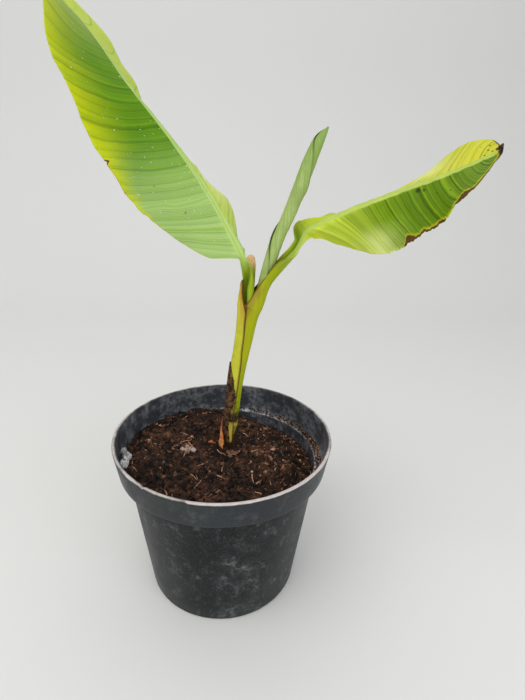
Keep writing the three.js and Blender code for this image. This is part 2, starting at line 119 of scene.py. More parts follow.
RIGHT_LEAF = dict(
    midrib=[
        [73.4, 1.6, 376.5], [108.8, -17.2, 396.8], [141.9, -36.5, 413.7], [170.8, -55.8, 428.6],
        [194.1, -75.0, 443.8],
    ],
    half_width=45.9, full_from=0.384, full_to=0.573, tip_power=1.5, roll=(0.442, 0.456, 0.47),
    fold={-1: (-1.076, -0.314, 0.449), 1: (-1.7, -0.844, 0.18)}, tuck=0.0, curl=-0.1,
    rib=(4.9, 2.5), keel=(4.6, 2.0), veins=25.0, vein_lead=(0.24, 0.1), pleat=0.5,
    ripple=(1.3, 4.0), smooth_foot=(0.1, 0.3), greens=(-46.0, -14.0), opens=(-42.0, -14.0),
    foot_reach={
        -1: ((-30, -13, -6, -3, 0, 6, 12), (9.5, 12.0, 23.5, 24.0, 22.0, 12.0, 0.0)),
        1: ((-42, -15, -6, 0, 4, 8), (9.0, 3.4, 6.0, 10.5, 12.5, 0.0)),
    },
    unrolls=(-42.0, -12.0), settles={-1: (15.0, 34.0), 1: (4.0, 14.0)},
    cup={
        -1: ((-42, -14, -4, 6, 12, 18), (0.95, 0.5, 0.3, 0.35, 0.2, -0.12)),
        1: ((-42, -12, -5, 0, 6, 12), (-0.2, -0.45, -0.9, -1.3, -1.55, -1.6)),
    },
    crown=1.3, rib_groove=0.45, far_calm=0.0, pale=(0.12, 0.38), pale_from=(-12.0, 6.0),
)


# Arithmetic on whole arrays


def lerp(a, b, share):
    return a + (b - a) * share


def smoothstep(x, low, high):
    """Rises from 0 at low to 1 at high along 3 s^2 - 2 s^3."""
    s = np.clip((x - low) / (high - low), 0.0, 1.0)
    return s * s * (3.0 - 2.0 * s)


def bump(x, centre, width):
    """A bell: e to the minus square of the distance from the centre over the width."""
    return np.exp(-(((x - centre) / width) ** 2))


def bells(x, *terms):
    """A sum of bells, each given by its height, centre and width."""
    return sum(height * bump(x, centre, width) for height, centre, width in terms)


def waves(x, *terms):
    """A sum of sines, each given by its height, its turn in radians for each 1 of x, and its start."""
    return sum(height * np.sin(turn * x + start) for height, turn, start in terms)


def bend(values, t):
    """The parabola through three values at t = 0, 1/2 and 1."""
    start, middle, end = values
    return start * (1 - t) * (1 - 2 * t) + middle * 4 * t * (1 - t) + end * t * (2 * t - 1)


def unit(vectors):
    return vectors / np.linalg.norm(vectors, axis=-1, keepdims=True)


def curve(axis, t):
    """Points and tangents of the cubic through the axis points: each span leaves a point along half
    the chord between that point's two neighbours. t runs evenly over the spans."""
    points = np.asarray(axis, float)
    points = np.vstack([2 * points[0] - points[1], points, 2 * points[-1] - points[-2]])
    spans = len(points) - 3
    place = np.clip(np.asarray(t, float) * spans, 0, spans)
    span = np.minimum(place.astype(int), spans - 1)
    s = (place - span)[:, None]
    a, b, c, d = (points[span + k] for k in range(4))
    out, into = (c - a) / 2, (d - b) / 2
    square, cube = s * s, s * s * s
    position = (
        (2 * cube - 3 * square + 1) * b
        + (cube - 2 * square + s) * out
        + (3 * square - 2 * cube) * c
        + (cube - square) * into
    )
    slope = (
        (6 * square - 6 * s) * b
        + (3 * square - 4 * s + 1) * out
        + (6 * s - 6 * square) * c
        + (3 * square - 2 * s) * into
    )
    return position, unit(slope)


def angle_from(angle, centre):
    """The angle less a centre in degrees, as radians from -pi to pi."""
    return np.angle(np.exp(1j * (angle - math.radians(centre))))


def polar(radius, angle, height):
    """Points at a radius and an angle round the upright axis, and at a height."""
    x, y = radius * np.cos(angle), radius * np.sin(angle)
    return np.stack(np.broadcast_arrays(x, y, height), -1)


def square_to(vectors, tangents):
    """The part of each vector that is square to its tangent, at unit length."""
    along = np.sum(vectors * tangents, axis=-1, keepdims=True)
    return unit(vectors - along * tangents)


def stalk_frame(tangents):
    """Front is -Y made square to the tangent, and right is tangent x front."""
    front = square_to(np.broadcast_to([0.0, -1.0, 0.0], tangents.shape), tangents)
    return np.cross(tangents, front), front


def soften(values, reach):
    """A running mean over 2 reach + 1 rows, with the ends carried on in a straight line."""
    head = 2 * values[:1] - values[reach:0:-1]
    tail = 2 * values[-1:] - values[-2 : -reach - 2 : -1]
    padded = np.concatenate([head, values, tail])
    total = np.cumsum(np.concatenate([np.zeros_like(values[:1]), padded]), axis=0)
    window = 2 * reach + 1
    return (total[window:] - total[:-window]) / window


def noise(points, size, seed=0):
    """Value noise from -1 to 1: random values at the corners of cells of that size, joined along
    3 s^2 - 2 s^3 in each direction."""
    place = np.asarray(points, float) / size + 4096.0
    cell = np.floor(place).astype(np.int64)
    s = place - cell
    s = s * s * (3 - 2 * s)
    total = np.zeros(place.shape[:-1])
    for corner in itertools.product((0, 1), repeat=3):
        x, y, z = (cell[..., k] + corner[k] for k in range(3))
        mixed = (x * 73856093) ^ (y * 19349663) ^ (z * 83492791) ^ (seed * 2654435761)
        mixed = (mixed ^ (mixed >> 13)) * 1274126177 & 0xFFFFFFFF
        value = ((mixed ^ (mixed >> 16)) & 0xFFFF) / 32767.5 - 1.0
        weight = np.ones(place.shape[:-1])
        for k in range(3):
            weight = weight * (s[..., k] if corner[k] else 1 - s[..., k])
        total += value * weight
    return total


def rough(points, size, octaves, seed=0):
    """Noise at a size, a half of it, a quarter and so on, each half as strong as the last."""
    return sum(noise(points, size / 2**k, seed + k) / 2**k for k in range(octaves))


# Meshes from arrays


def grid_faces(rows, columns, closed=False, start=0):
    """Quads of a grid of points numbered row by row; closed joins the last column to the first."""
    across = columns if closed else columns - 1
    i, j = np.meshgrid(np.arange(rows - 1), np.arange(across), indexing="ij")
    a = i * columns + j
    b = i * columns + (j + 1) % columns
    return start + np.stack([a, b, b + columns, a + columns], -1).reshape(-1, 4)


def repeated(faces, points_each, count):
    """The faces of one part, numbered on for a count of parts with so many points each."""
    return (faces[None] + points_each * np.arange(count)[:, None, None]).reshape(-1, faces.shape[1])


def thin_shell(upper, lower):
    """A closed shell between two grids of points: both grids, and quads round their border."""
    rows, columns = upper.shape[:2]
    count = rows * columns
    numbers = np.arange(count).reshape(rows, columns)
    border = np.concatenate(
        [numbers[0, :-1], numbers[:-1, -1], numbers[-1, :0:-1], numbers[:0:-1, 0]]
    )
    following = np.roll(border, -1)
    rim = np.stack([following, border, border + count, following + count], -1)
    faces = np.concatenate(
        [grid_faces(rows, columns), grid_faces(rows, columns, start=count)[:, ::-1], rim]
    )
    return np.concatenate([upper.reshape(-1, 3), lower.reshape(-1, 3)]), faces


def tube(rings):
    """A closed tube over rings of points, each end closed by a fan round its middle point."""
    rows, around = rings.shape[:2]
    count = rows * around
    points = np.concatenate([rings.reshape(-1, 3), rings[:1].mean(1), rings[-1:].mean(1)])
    j = np.arange(around)
    following = (j + 1) % around
    last = count - around
    caps = [
        np.stack([following, j, np.full(around, count)], -1),
        np.stack([last + j, last + following, np.full(around, count + 1)], -1),
    ]
    return points, [grid_faces(rows, around, closed=True), *caps]


def volume(points, groups):
    """Six times the volume inside the faces, from the corners' triple products."""
    total = 0.0
    for faces in groups:
        for k in range(1, faces.shape[1] - 1):
            a, b, c = (points[faces[:, n]] for n in (0, k, k + 1))
            total += np.sum(a * np.cross(b, c))
    return total


def make_mesh(name, points, groups, smooth=True):
    """A mesh of points in metres and groups of faces: arrays with a row of corners for each face."""
    corners = np.concatenate([g.ravel() for g in groups]).astype(np.int32)
    sizes = np.concatenate([np.full(len(g), g.shape[1]) for g in groups])
    mesh = bpy.data.meshes.new(name)
    mesh.vertices.add(len(points))
    mesh.vertices.foreach_set("co", points.astype(np.float32).ravel())
    mesh.loops.add(len(corners))
    mesh.loops.foreach_set("vertex_index", corners)
    mesh.polygons.add(len(sizes))
    mesh.polygons.foreach_set("loop_start", (np.cumsum(sizes) - sizes).astype(np.int32))
    mesh.polygons.foreach_set("use_smooth", np.full(len(sizes), smooth))
    mesh.update(calc_edges=True)
    return mesh


def place_in_scene(name, data):
    """A new object in the scene that shows a mesh, a light or a camera."""
    made = bpy.data.objects.new(name, data)
    bpy.context.scene.collection.objects.link(made)
    return made


def add_piece(name, points, faces, material, nodes=(), attributes=None, smooth=True):
    """Puts points in millimetres and faces of three or four corners into a mesh that faces outwards,
    gives it its attributes and finish, and lets it ride on the plant."""
    groups = faces if isinstance(faces, list) else [faces]
    if volume(points - points.mean(0), groups) < 0:
        groups = [g[:, ::-1] for g in groups]
    mesh = make_mesh(name, points * MM, groups, smooth)
    for key, values in (attributes or {}).items():
        layer = mesh.attributes.new(key, "FLOAT", "POINT")
        layer.data.foreach_set("value", values.astype(np.float32).ravel())
    if mesh.validate():
        raise RuntimeError(f"{name} has faces that Blender had to mend")
    mesh.materials.append(material)
    made = place_in_scene(name, mesh)
    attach(made, "root")
    if nodes:
        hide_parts(*nodes)
    return made


def add_shell(name, upper, lower, material, slot, nodes, **layers):
    """A closed shell between two faces. Both carry the same attributes, and under is 1 below."""
    points, faces = thin_shell(upper, lower)
    shape = upper.shape[:2]
    layers = {key: np.tile(np.broadcast_to(v, shape).ravel(), 2) for key, v in layers.items()}
    layers["under"] = np.repeat([0.0, 1.0], shape[0] * shape[1])
    add_piece(name, points, faces, material, nodes, layers)


def add_strip(name, place, depth, x, half, run, material, slot, nodes):
    """A strip as a shell. Across it x runs from -1 to 1 times its half width."""
    lane, edge = x * half, half - np.abs(x) * half
    add_shell(name, place, place - depth, material, slot, nodes, lane=lane, run=run[:, None], edge=edge)


# Shader nodes


class Signal:
    """What comes out of a node. Arithmetic on it adds Math nodes."""

    def __init__(self, graph, socket):
        self.graph = graph
        self.socket = socket

    def __add__(self, other):
        return self.graph.math("ADD", self, other)

    def __radd__(self, other):
        return self.graph.math("ADD", other, self)

    def __sub__(self, other):
        return self.graph.math("SUBTRACT", self, other)

    def __rsub__(self, other):
        return self.graph.math("SUBTRACT", other, self)

    def __mul__(self, other):
        return self.graph.math("MULTIPLY", self, other)

    def __truediv__(self, other):
        return self.graph.math("DIVIDE", self, other)

    def __pow__(self, power):
        return self.graph.math("POWER", self, power)

    def __abs__(self):
        return self.graph.math("ABSOLUTE", self)

    def clamped(self):
        """Holds the last result between 0 and 1."""
        self.socket.node.use_clamp = True
        return self


class Graph:
    """Adds nodes to a tree. A value that is a signal is linked, and any other is set."""

    def __init__(self, tree):
        self.tree = tree
        self.count = 0

    def add(self, kind, values=None, **settings):
        node = self.tree.nodes.new(kind)
        self.count += 1
        node.location = (220 * (self.count % 9), -260 * (self.count // 9))
        for key, value in settings.items():
            setattr(node, key, value)
        for key, value in (values or {}).items():
            self.feed(node.inputs[key], value)
        return node

    def feed(self, socket, value):
        if isinstance(value, Signal):
            self.tree.links.new(value.socket, socket)
        else:
            socket.default_value = value

    def out(self, node, key=0):
        return Signal(self, node.outputs[key])

    def all_out(self, node):
        return {socket.name: Signal(self, socket) for socket in node.outputs}

    def math(self, operation, a, b=0.0):
        return self.out(self.add("ShaderNodeMath", {0: a, 1: b}, operation=operation))

    def mix(self, share, a, b):
        return self.out(self.add("ShaderNodeMix", {0: share, 6: a, 7: b}, data_type="RGBA"), 2)

    def band(self, value, low, high):
        """0 at low and 1 at high, smooth between them."""
        values = {"Value": value, "From Min": low, "From Max": high}
        return self.out(self.add("ShaderNodeMapRange", values, interpolation_type="SMOOTHSTEP"))

    def ramp(self, value, stops):
        """Evenly spaced colours along a value from 0 to 1."""
        node = self.add("ShaderNodeValToRGB", {"Fac": value})
        elements = node.color_ramp.elements
        while len(elements) < len(stops):
            elements.new(0.5)
        for k, colour in enumerate(stops):
            elements[k].position = k / (len(stops) - 1)
            elements[k].color = colour
        return self.out(node, "Color")

    def place(self):
        return self.out(self.add("ShaderNodeTexCoord"), "Object")

    def height(self):
        return self.out(self.add("ShaderNodeSeparateXYZ", {"Vector": self.place()}), "Z")

    def noise(self, scale, detail=3.0, vector=None, roughness=0.55):
        values = {"Scale": scale, "Detail": detail, "Roughness": roughness}
        values["Vector"] = vector or self.place()
        return self.out(self.add("ShaderNodeTexNoise", values), "Fac")

    def upright_noise(self, scale, detail, stretch, roughness):
        """Noise whose heights are scaled by the stretch: below 1 it runs down the wall."""
        values = {"Vector": self.place(), "Scale": (1.0, 1.0, stretch)}
        vector = self.out(self.add("ShaderNodeMapping", values))
        return self.noise(scale, detail, vector, roughness)

    def drawn(self, value):
        """A number from 0 to 1 that looks random and is the same for the same value."""
        return self.out(self.add("ShaderNodeTexWhiteNoise", {"W": value}, noise_dimensions="1D"))

    def attribute(self, name):
        return self.out(self.add("ShaderNodeAttribute", attribute_name=name), "Fac")

    def shared(self, name, **values):
        """Places a shared node group, and returns its one output or all of them by name."""
        tree = bpy.data.node_groups.get(name) or make_group(name)
        found = self.all_out(self.add("ShaderNodeGroup", values, node_tree=tree))
        return found if len(found) > 1 else found["Value"]

    def relief(self, height, strength, distance):
        values = {"Height": height, "Strength": strength, "Distance": distance}
        return self.out(self.add("ShaderNodeBump", values))


class Finish(Graph):
    """A new material and the colours that are laid over one another in it."""

    def __init__(self, name, preview):
        self.material = bpy.data.materials.new(name)
        self.material.use_nodes = True
        self.material.node_tree.nodes.clear()
        self.material.diffuse_color = preview
        super().__init__(self.material.node_tree)
        self.colour = preview

    def lay(self, share, colour):
        """Lays a colour over what is there, by a share from 0 to 1."""
        self.colour = self.mix(share, self.colour, colour)

    def close(self, roughness, normal=None, **constants):
        """Ends in the Principled BSDF, with constants set on the shader's own sockets."""
        values = {"Base Color": self.colour, "Roughness": roughness}
        if normal is not None:
            values["Normal"] = normal
        values.update({key.replace("_", " "): value for key, value in constants.items()})
        shader = self.add("ShaderNodeBsdfPrincipled", values)
        self.add("ShaderNodeOutputMaterial", {"Surface": self.out(shader)})
        return self.material


def rgb(red, green, blue):
    """Screen values from 0 to 255 as a linear colour: c/12.92 when dark, else ((c+.055)/1.055)^2.4."""
    shares = [v / 255 for v in (red, green, blue)]
    return (*(c / 12.92 if c <= 0.04045 else ((c + 0.055) / 1.055) ** 2.4 for c in shares), 1.0)


def tones(**values):
    """A table of finishes in which each triple of screen values becomes a colour."""
    return {k: rgb(*v) if isinstance(v, tuple) and len(v) == 3 else v for k, v in values.items()}


def mottle(graph, source):
    """Cloudy patches from 0 to 1: two layers of noise, the finer one a third as strong."""
    broad = graph.noise(source["Scale"], 4.0)
    fine = graph.noise(source["Scale"] * 4.7, 3.0)
    spread = source["Spread"]
    return {"Value": graph.band(broad * 0.75 + fine * 0.25, 0.5 - spread, 0.5 + spread)}


def streaks(graph, source):
    """Fibres that run along a strand: noise over the place across it and a little of the run."""
    values = {"X": source["Lane"] * source["Fineness"], "Y": source["Run"] * source["Reach"]}
    place = graph.out(graph.add("ShaderNodeCombineXYZ", values))
    return {"Value": graph.band(graph.noise(1.0, 3.0, place), 0.3, 0.7)}


def veins(graph, source):
    """Lines across a blade. Groove is 1 near each whole phase, times a strength drawn for that vein.
    Crest lies just past it. Panel is a tone drawn for each strip between two veins, and Fine is a
    set of thin lines, six to a phase."""
    phase = source["Phase"] + (graph.noise(26.0, 2.0) - 0.5) * 0.4
    past = graph.math("FRACT", phase)
    whole = graph.math("FLOOR", phase)
    near = graph.band(abs(past - 0.5), 0.5 - source["Width"], 0.5)
    crest = graph.band(past, 0.04, 0.2) * graph.band(past, 0.5, 0.22)
    ahead = graph.band(past, 0.8, 1.0)
    tone = graph.drawn(whole + 0.31) * (1.0 - ahead) + graph.drawn(whole + 1.31) * ahead
    return {
        "Groove": near * (0.3 + graph.drawn(graph.math("ROUND", phase)) * 0.55),
        "Crest": crest * graph.drawn(whole),
        "Panel": tone,
        "Fine": graph.band(graph.math("SINE", phase * (6 * TAU)), -0.6, 1.0),
    }


def dead_tissue(graph, source):
    """Dry tissue from a signed distance in mm, above 0 where it is dead. Noise frays both limits:
    Brown is the dead part and Halo reaches a few mm further."""
    depth = source["Depth"] + (graph.noise(240.0, 3.0) - 0.5) * source["Fray"]
    return {"Brown": graph.band(depth, -0.4, 0.5), "Halo": graph.band(depth, -2.8, -0.2)}


def specks(graph, source):
    """Small scattered spots: near a cell's middle, and only in cells that a noise lets through."""
    values = {"Vector": graph.place(), "Scale": source["Scale"]}
    cells = graph.all_out(graph.add("ShaderNodeTexVoronoi", values))
    red = graph.out(graph.add("ShaderNodeSeparateColor", {"Color": cells["Color"]}))
    chosen = graph.math("LESS_THAN", red, source["Share"])
    return {"Value": (1.0 - graph.band(cells["Distance"], 0.12, 0.3)) * chosen}


GROUPS = {
    "Mottle": (mottle, {"Scale": 40.0, "Spread": 0.14}),
    "Streaks": (streaks, {"Lane": 0.0, "Run": 0.0, "Fineness": 1.0, "Reach": 0.05}),
    "Veins": (veins, {"Phase": 0.0, "Width": 0.1}),
    "Dead Tissue": (dead_tissue, {"Depth": 0.0, "Fray": 2.0}),
    "Specks": (specks, {"Scale": 200.0, "Share": 0.3}),
}


def make_group(name):
    """Builds a shared node group: sockets for its inputs, its nodes, and sockets for what they give."""
    nodes_of, inputs = GROUPS[name]
    tree = bpy.data.node_groups.new(name, "ShaderNodeTree")
    graph = Graph(tree)
    for label, default in inputs.items():
        socket = tree.interface.new_socket(label, in_out="INPUT", socket_type="NodeSocketFloat")
        socket.default_value = default
    results = nodes_of(graph, graph.all_out(graph.add("NodeGroupInput")))
    for label in results:
        tree.interface.new_socket(label, in_out="OUTPUT", socket_type="NodeSocketFloat")
    graph.add("NodeGroupOutput", results)
    return tree


# Materials

# Heights in metres over which the yellow patch ends at its top, and over which the stem is buried.
PATCH_TOP = (0.187, 0.183)
BURIED = (0.1595, 0.1545)


def leaf_material(name, look):
    """Leaf tissue. Attributes say where a point is: lane and run in mm across and along, edge in mm
    from the margin, vein phase, dry depth and the underside."""
    leaf = Finish(name, look["mid"])
    lane, run, edge, under, far, pale = (
        leaf.attribute(k) for k in ("lane", "run", "edge", "under", "far", "pale")
    )
    cloudy = leaf.shared("Mottle", Scale=look["mottle"])
    broad = leaf.shared("Mottle", Scale=look["mottle"] / 4, Spread=0.2)
    vein = leaf.shared("Veins", Phase=leaf.attribute("vein"), Width=look["groove"])
    dead = leaf.shared("Dead Tissue", Depth=leaf.attribute("dry"), Fray=3.0)
    leaf.lay(cloudy * 0.5, look["deep"])
    leaf.lay(broad * 0.5, look["light"])
    # The pale foot is partly the blade's own paler colour and partly painted light, the sun shining
    # through it.
    leaf.lay(pale * look["pale_share"], look["pale"])
    # Painted shade: each strip between two veins is darkened by its own drawn amount, as a pleat facing
    # away would be.
    leaf.lay(vein["Panel"] * look["panel"], look["deep"])
    leaf.lay(vein["Fine"] * look["fine_share"], look["light"])
    # Painted light: the far half, lit through from behind, is laid in a lighter colour.
    leaf.lay(far * look["far_share"], look["far"])
    reach = leaf.attribute("margin") * (0.75 + vein["Panel"] * 0.5)
    leaf.lay((1.0 - edge / reach).clamped() ** 1.8, look["yellow"])
    # Painted highlight on the ridge just past each vein.
    leaf.lay(vein["Crest"] * look["crest"], look["light"])
    calm = leaf.math("MAXIMUM", pale, far * look["far_calm"])
    spread = 1.0 - calm * look["calm"]
    leaf.lay(vein["Groove"] * (spread * look["groove_share"]), look["shadow"])
    rib = leaf.band(abs(lane) / leaf.attribute("rib"), 1.15, 0.85)
    line = leaf.shared("Streaks", Lane=lane, Run=run, Fineness=0.9)
    leaf.lay(rib * look["rib_share"], leaf.mix(line * 0.5, look["rib"], look["rib_line"]))
    leaf.lay(leaf.attribute("spot") * 0.85, look["spot"])
    ribbed = (vein["Fine"] + vein["Panel"]) * 0.45 + 0.2
    # Painted sheen: pale streaks along the ribs, standing in for the sky's reflection.
    leaf.lay(leaf.attribute("bleach") * ribbed, look["bleached"])
    leaf.lay(dead["Halo"] * 0.6, look["halo"])
    leaf.lay(dead["Brown"], leaf.mix(leaf.noise(300.0, 3.0), look["brown"], look["rust"]))
    leaf.lay(under * 0.55, look["under"])
    leaf.lay(leaf.attribute("stalk"), stalk_colours(leaf, lane, run, edge, look["stalk"]))
    gloss = look["gloss"] + under * 0.2 + dead["Brown"] * 0.3
    relief = leaf.relief(vein["Fine"] * 0.4 + cloudy, 0.45 - under * 0.4, 0.0005)
    return leaf.close(gloss, relief, Specular_IOR_Level=0.13)


def shaken_height(graph, height):
    return height + graph.noise(140.0, 4.0) * 0.012


def dark_gap(graph, height):
    """1 in the stained gap between the green stalk and the yellow patch at its foot."""
    gap = graph.band(height, 0.185, 0.1885) * graph.band(height, 0.199, 0.193)
    return gap * graph.band(graph.noise(420.0, 3.0), 0.34, 0.56)


def stalk_colours(graph, lane, run, edge, look):
    """Stalk and sheath: olive and yellow fibres, a stained margin, mottling near the soil, and a
    yellow patch below a dark gap."""
    fibres = graph.shared("Streaks", Lane=lane, Run=run, Fineness=1.1, Reach=0.03)
    wide = graph.shared("Streaks", Lane=lane, Run=run, Fineness=0.3, Reach=0.02)
    blotch = graph.shared("Mottle", Scale=170.0, Spread=0.05)
    freckles = graph.shared("Mottle", Scale=260.0, Spread=0.03)
    height = graph.height()
    shaken = shaken_height(graph, height)
    inner = graph.band(lane + (shaken - PATCH_TOP[0]) * 333.0, 1.2, 2.8)
    below = graph.band(shaken, *PATCH_TOP)
    near = graph.band(height, 0.24, 0.165) * graph.band(lane, 2.0, 7.0)
    fork = graph.band(run, -102.0, -88.0) * graph.band(run, -56.0, -68.0)
    # Painted shade: below the patch, the stem outside the patch is laid in the soil colour.
    painted_shade_aside = (below * (0.92 - inner)).clamped()
    body = graph.mix(fibres * 0.55, look["green"], look["olive"])
    for share, colour in (
        (wide * 0.5, look["yellow"]),
        (graph.band(run, -85.0, -20.0) * 0.65, look["upper"]),
        (graph.band(height, *look["low"]), graph.mix(blotch, look["base"], look["blotch"])),
        (below * inner, look["patch"]),
        (dark_gap(graph, shaken), look["soiled"]),
        (near * freckles * 0.7, look["blotch"]),
        (graph.band(edge, 9.0, 2.0) * fork * look["tan_share"], look["tan"]),
        (graph.band(edge, 1.8, 0.2) * 0.85, look["seam"]),
        (graph.math("MAXIMUM", graph.band(height, *BURIED), painted_shade_aside), look["soiled"]),
    ):
        body = graph.mix(share, body, colour)
    return body


def sheath_material(name, look):
    """Old sheaths: fibres in two colours, a stained margin and flecks."""
    sheath = Finish(name, look["main"])
    lane, run, edge = (sheath.attribute(k) for k in ("lane", "run", "edge"))
    fibres = sheath.shared("Streaks", Lane=lane, Run=run, Fineness=look["fineness"])
    cloudy = sheath.shared("Mottle", Scale=look["mottle"], Spread=look["spread"])
    flecks = sheath.shared("Specks", Scale=look["fleck_scale"], Share=look["fleck_cover"])
    sheath.lay(fibres * 0.6, look["second"])
    sheath.lay(cloudy * look["mottle_share"], look["patch"])
    margin = sheath.band(edge, look["margin_width"], 0.1)
    sheath.lay(margin, look["margin"])
    end = sheath.band(run, *look["end"]) * (0.85 - margin)
    sheath.lay(end * sheath.band(edge, look["end_width"], 0.5), look["end_colour"])
    if "foot" in look:
        height = sheath.height()
        shaken = shaken_height(sheath, height)
        stained = sheath.shared("Mottle", Scale=150.0, Spread=0.06)
        inner = sheath.band(lane - (shaken - 0.165) * 114.0, 13.3, 12.3)
        foot = sheath.mix(stained, look["foot"], look["foot_dark"])
        sheath.lay(sheath.band(height, *look["foot_heights"]), foot)
        sheath.lay(sheath.band(shaken, *PATCH_TOP) * inner, rgb(182, 162, 66))
        sheath.lay(dark_gap(sheath, shaken), look["soiled"])
        sheath.lay(sheath.band(height, *BURIED), look["soiled"])
    if "young" in look:
        sheath.lay(sheath.band(run, *look["young"]), look["young_colour"])
    sheath.lay(flecks * look["fleck_share"], look["fleck"])
    relief = sheath.relief(fibres + cloudy * 0.5, 0.5, 0.0004)
    return sheath.close(look["roughness"], relief, Specular_IOR_Level=0.2)


def rolled_material(look):
    """Waxy young leaf: grey-green with pale stripes that wind round it, darker inside the roll as
    painted shade.
    """
    leaf = Finish("rolled_leaf_wax", look["mid"])
    lane, run, edge = (leaf.attribute(k) for k in ("lane", "run", "edge"))
    stripes = leaf.shared("Streaks", Lane=lane, Run=run, Fineness=0.8, Reach=0.02)
    leaf.lay(stripes, look["light"])
    leaf.lay(leaf.shared("Mottle", Scale=55.0) * 0.35, look["deep"])
    leaf.lay(leaf.band(run, 105.0, 150.0) * 0.6, look["top"])
    leaf.lay(leaf.band(run, 40.0, 0.0) * 0.5, look["foot"])
    # Painted shade along the outer edge, where it lies over the turn beneath.
    leaf.lay(leaf.band(edge, 1.6, 0.2) * 0.55, look["rim"])
    # Painted shade on the inner face of the roll.
    leaf.lay(leaf.attribute("under") * 0.7, look["inside"])
    return leaf.close(0.6, leaf.relief(stripes, 0.3, 0.0004), Specular_IOR_Level=0.2)


def pot_material(dustiness):
    """Charcoal plastic: worn pale on the rim, chalky scuffs, specks, drips and dust."""
    pot = Finish("pot_plastic_worn", rgb(34, 38, 41))
    height = pot.height()
    inside, crust, wear = (pot.attribute(k) for k in ("inside", "crust", "wear"))
    smear = pot.upright_noise(46.0, 9.0, 1.3, 0.7)
    drip = pot.upright_noise(70.0, 4.0, 0.14, 0.6)
    wisp = pot.upright_noise(88.0, 8.0, 0.55, 0.68)
    broad = pot.noise(11.0, 3.0)
    fine = pot.noise(520.0, 3.0)
    grain = pot.noise(170.0, 5.0, None, 0.7)
    pot.colour = pot.mix(pot.noise(30.0, 5.0), rgb(6, 9, 10), rgb(23, 27, 29))
    haze = pot.band(broad, 0.36, 0.62) * pot.band(smear, 0.38, 0.62)
    haze = haze * pot.band(grain + fine, 0.6, 1.2)
    scuff = pot.band(smear, 0.53, 0.68) * pot.band(grain, 0.42, 0.62) * pot.band(broad, 0.42, 0.58)
    wisp = pot.band(wisp, 0.52, 0.7) * pot.band(grain, 0.36, 0.58)
    speck = pot.shared("Specks", Scale=420.0, Share=0.3) * pot.band(smear, 0.48, 0.6)
    dusting = pot.band(fine, 0.45, 0.65) * pot.band(grain, 0.4, 0.6)
    chalk = pot.band(drip, 0.58, 0.78) * pot.band(fine, 0.4, 0.62)
    for share, strength, grey in (
        (haze, 0.44, (83, 87, 87)),
        (scuff, 0.62, (132, 138, 142)),
        (wisp, 0.44, (117, 119, 120)),
        (speck, 0.35, (130, 136, 138)),
        (dusting, 0.22, (84, 88, 87)),
        (chalk, 0.35, (134, 136, 136)),
    ):
        pot.lay(share * (strength * dustiness), rgb(*grey))
    # Painted shadow under the overhanging band: the plastic is darker from 118 mm upwards.
    pot.lay(pot.band(height, 0.118, 0.139) * 0.35, rgb(18, 21, 23))
    pot.lay(pot.band(height, 0.1428, 0.1445) * 0.3, rgb(70, 74, 80))
    pot.lay(pot.band(pot.noise(11.0, 4.0), 0.5, 0.75) * 0.3, rgb(58, 66, 52))
    lime = pot.band(drip, 0.5, 0.74) * pot.band(smear, 0.42, 0.62)
    stained = pot.band(smear, 0.4, 0.58) * pot.band(grain, 0.38, 0.6)
    wall = pot.mix(stained, rgb(52, 54, 58), rgb(102, 104, 109))
    wall = pot.mix(lime * 0.6, wall, rgb(150, 150, 154))
    pot.lay(inside * 0.9, wall)
    broken = pot.band(grain, 0.41, 0.53) * pot.band(fine, 0.36, 0.54)
    pot.lay(crust * broken, pot.mix(grain, rgb(120, 120, 128), rgb(226, 220, 226)))
    worn = pot.band(wear + (smear - 0.5), 0.35, 0.85)
    pot.lay(worn, pot.mix(grain, rgb(158, 147, 144), rgb(226, 217, 214)))
    relief = pot.relief(fine + smear * 2.0, 0.3, 0.0005)
    return pot.close(0.36 + (haze + scuff) * 0.3, relief, Specular_IOR_Level=0.16)


def soil_material(name, stops, roughness=0.95):
    """Crumbly matter: a colour for each piece from its tint, and noise over it."""
    soil = Finish(name, stops[len(stops) // 2])
    grain = soil.noise(700.0, 4.0)
    tint = soil.attribute("tint") + grain * 0.5 + (soil.noise(60.0, 4.0) - 0.5) * 0.8
    soil.colour = soil.ramp(tint - 0.25, stops)
    return soil.close(roughness, soil.relief(grain, 0.8, 0.001), Specular_IOR_Level=0.25)


# Leaves: one sheet that starts as a sheath, narrows to a stalk and opens into a blade

# Each spot lies at a share along the blade and a distance in mm across it, and has a radius in mm.
LEFT_SPOTS = [(0.2, -27.0, 0.9), (0.31, -38.0, 0.6), (0.47, -21.0, 0.5)]
RIGHT_SPOTS = [
    (0.57, 6.5, 1.9), (0.6, 8.0, 1.1), (0.73, 17.0, 0.7), (0.66, 14.0, 0.6), (0.93, -9.0, 0.9),
    (0.95, -6.0, 0.7), (0.91, -5.0, 0.6), (0.94, -13.0, 0.8), (0.89, -17.0, 0.5),
]


def blade_share(leaf, t):
    """Half width over its most: root of (1 - foot^2)(1 - tip^p), round at the foot, blunt at the tip."""
    foot = np.clip(1 - t / leaf["full_from"], 0, 1)
    tip = np.clip((t - leaf["full_to"]) / (1 - leaf["full_to"]), 0, 1)
    return np.sqrt((1 - foot**2) * (1 - tip ** leaf["tip_power"]))


def blade_frames(leaf, rows):
    """Spine and the up vector turned about the midrib by the roll, for evenly spaced t."""
    t = np.linspace(0.0, 1.0, rows)
    spine, tangents = curve(leaf["midrib"], t)
    level = square_to(np.broadcast_to([0.0, 0.0, 1.0], tangents.shape), tangents)
    side = np.cross(tangents, level)
    roll = bend(leaf["roll"], t)[:, None]
    return t, spine, level * np.cos(roll) + side * np.sin(roll)


def lengths(points):
    """Distance along a row of points from its first."""
    steps = np.linalg.norm(np.diff(points, axis=0), axis=1)
    return np.concatenate([[0.0], np.cumsum(steps)])


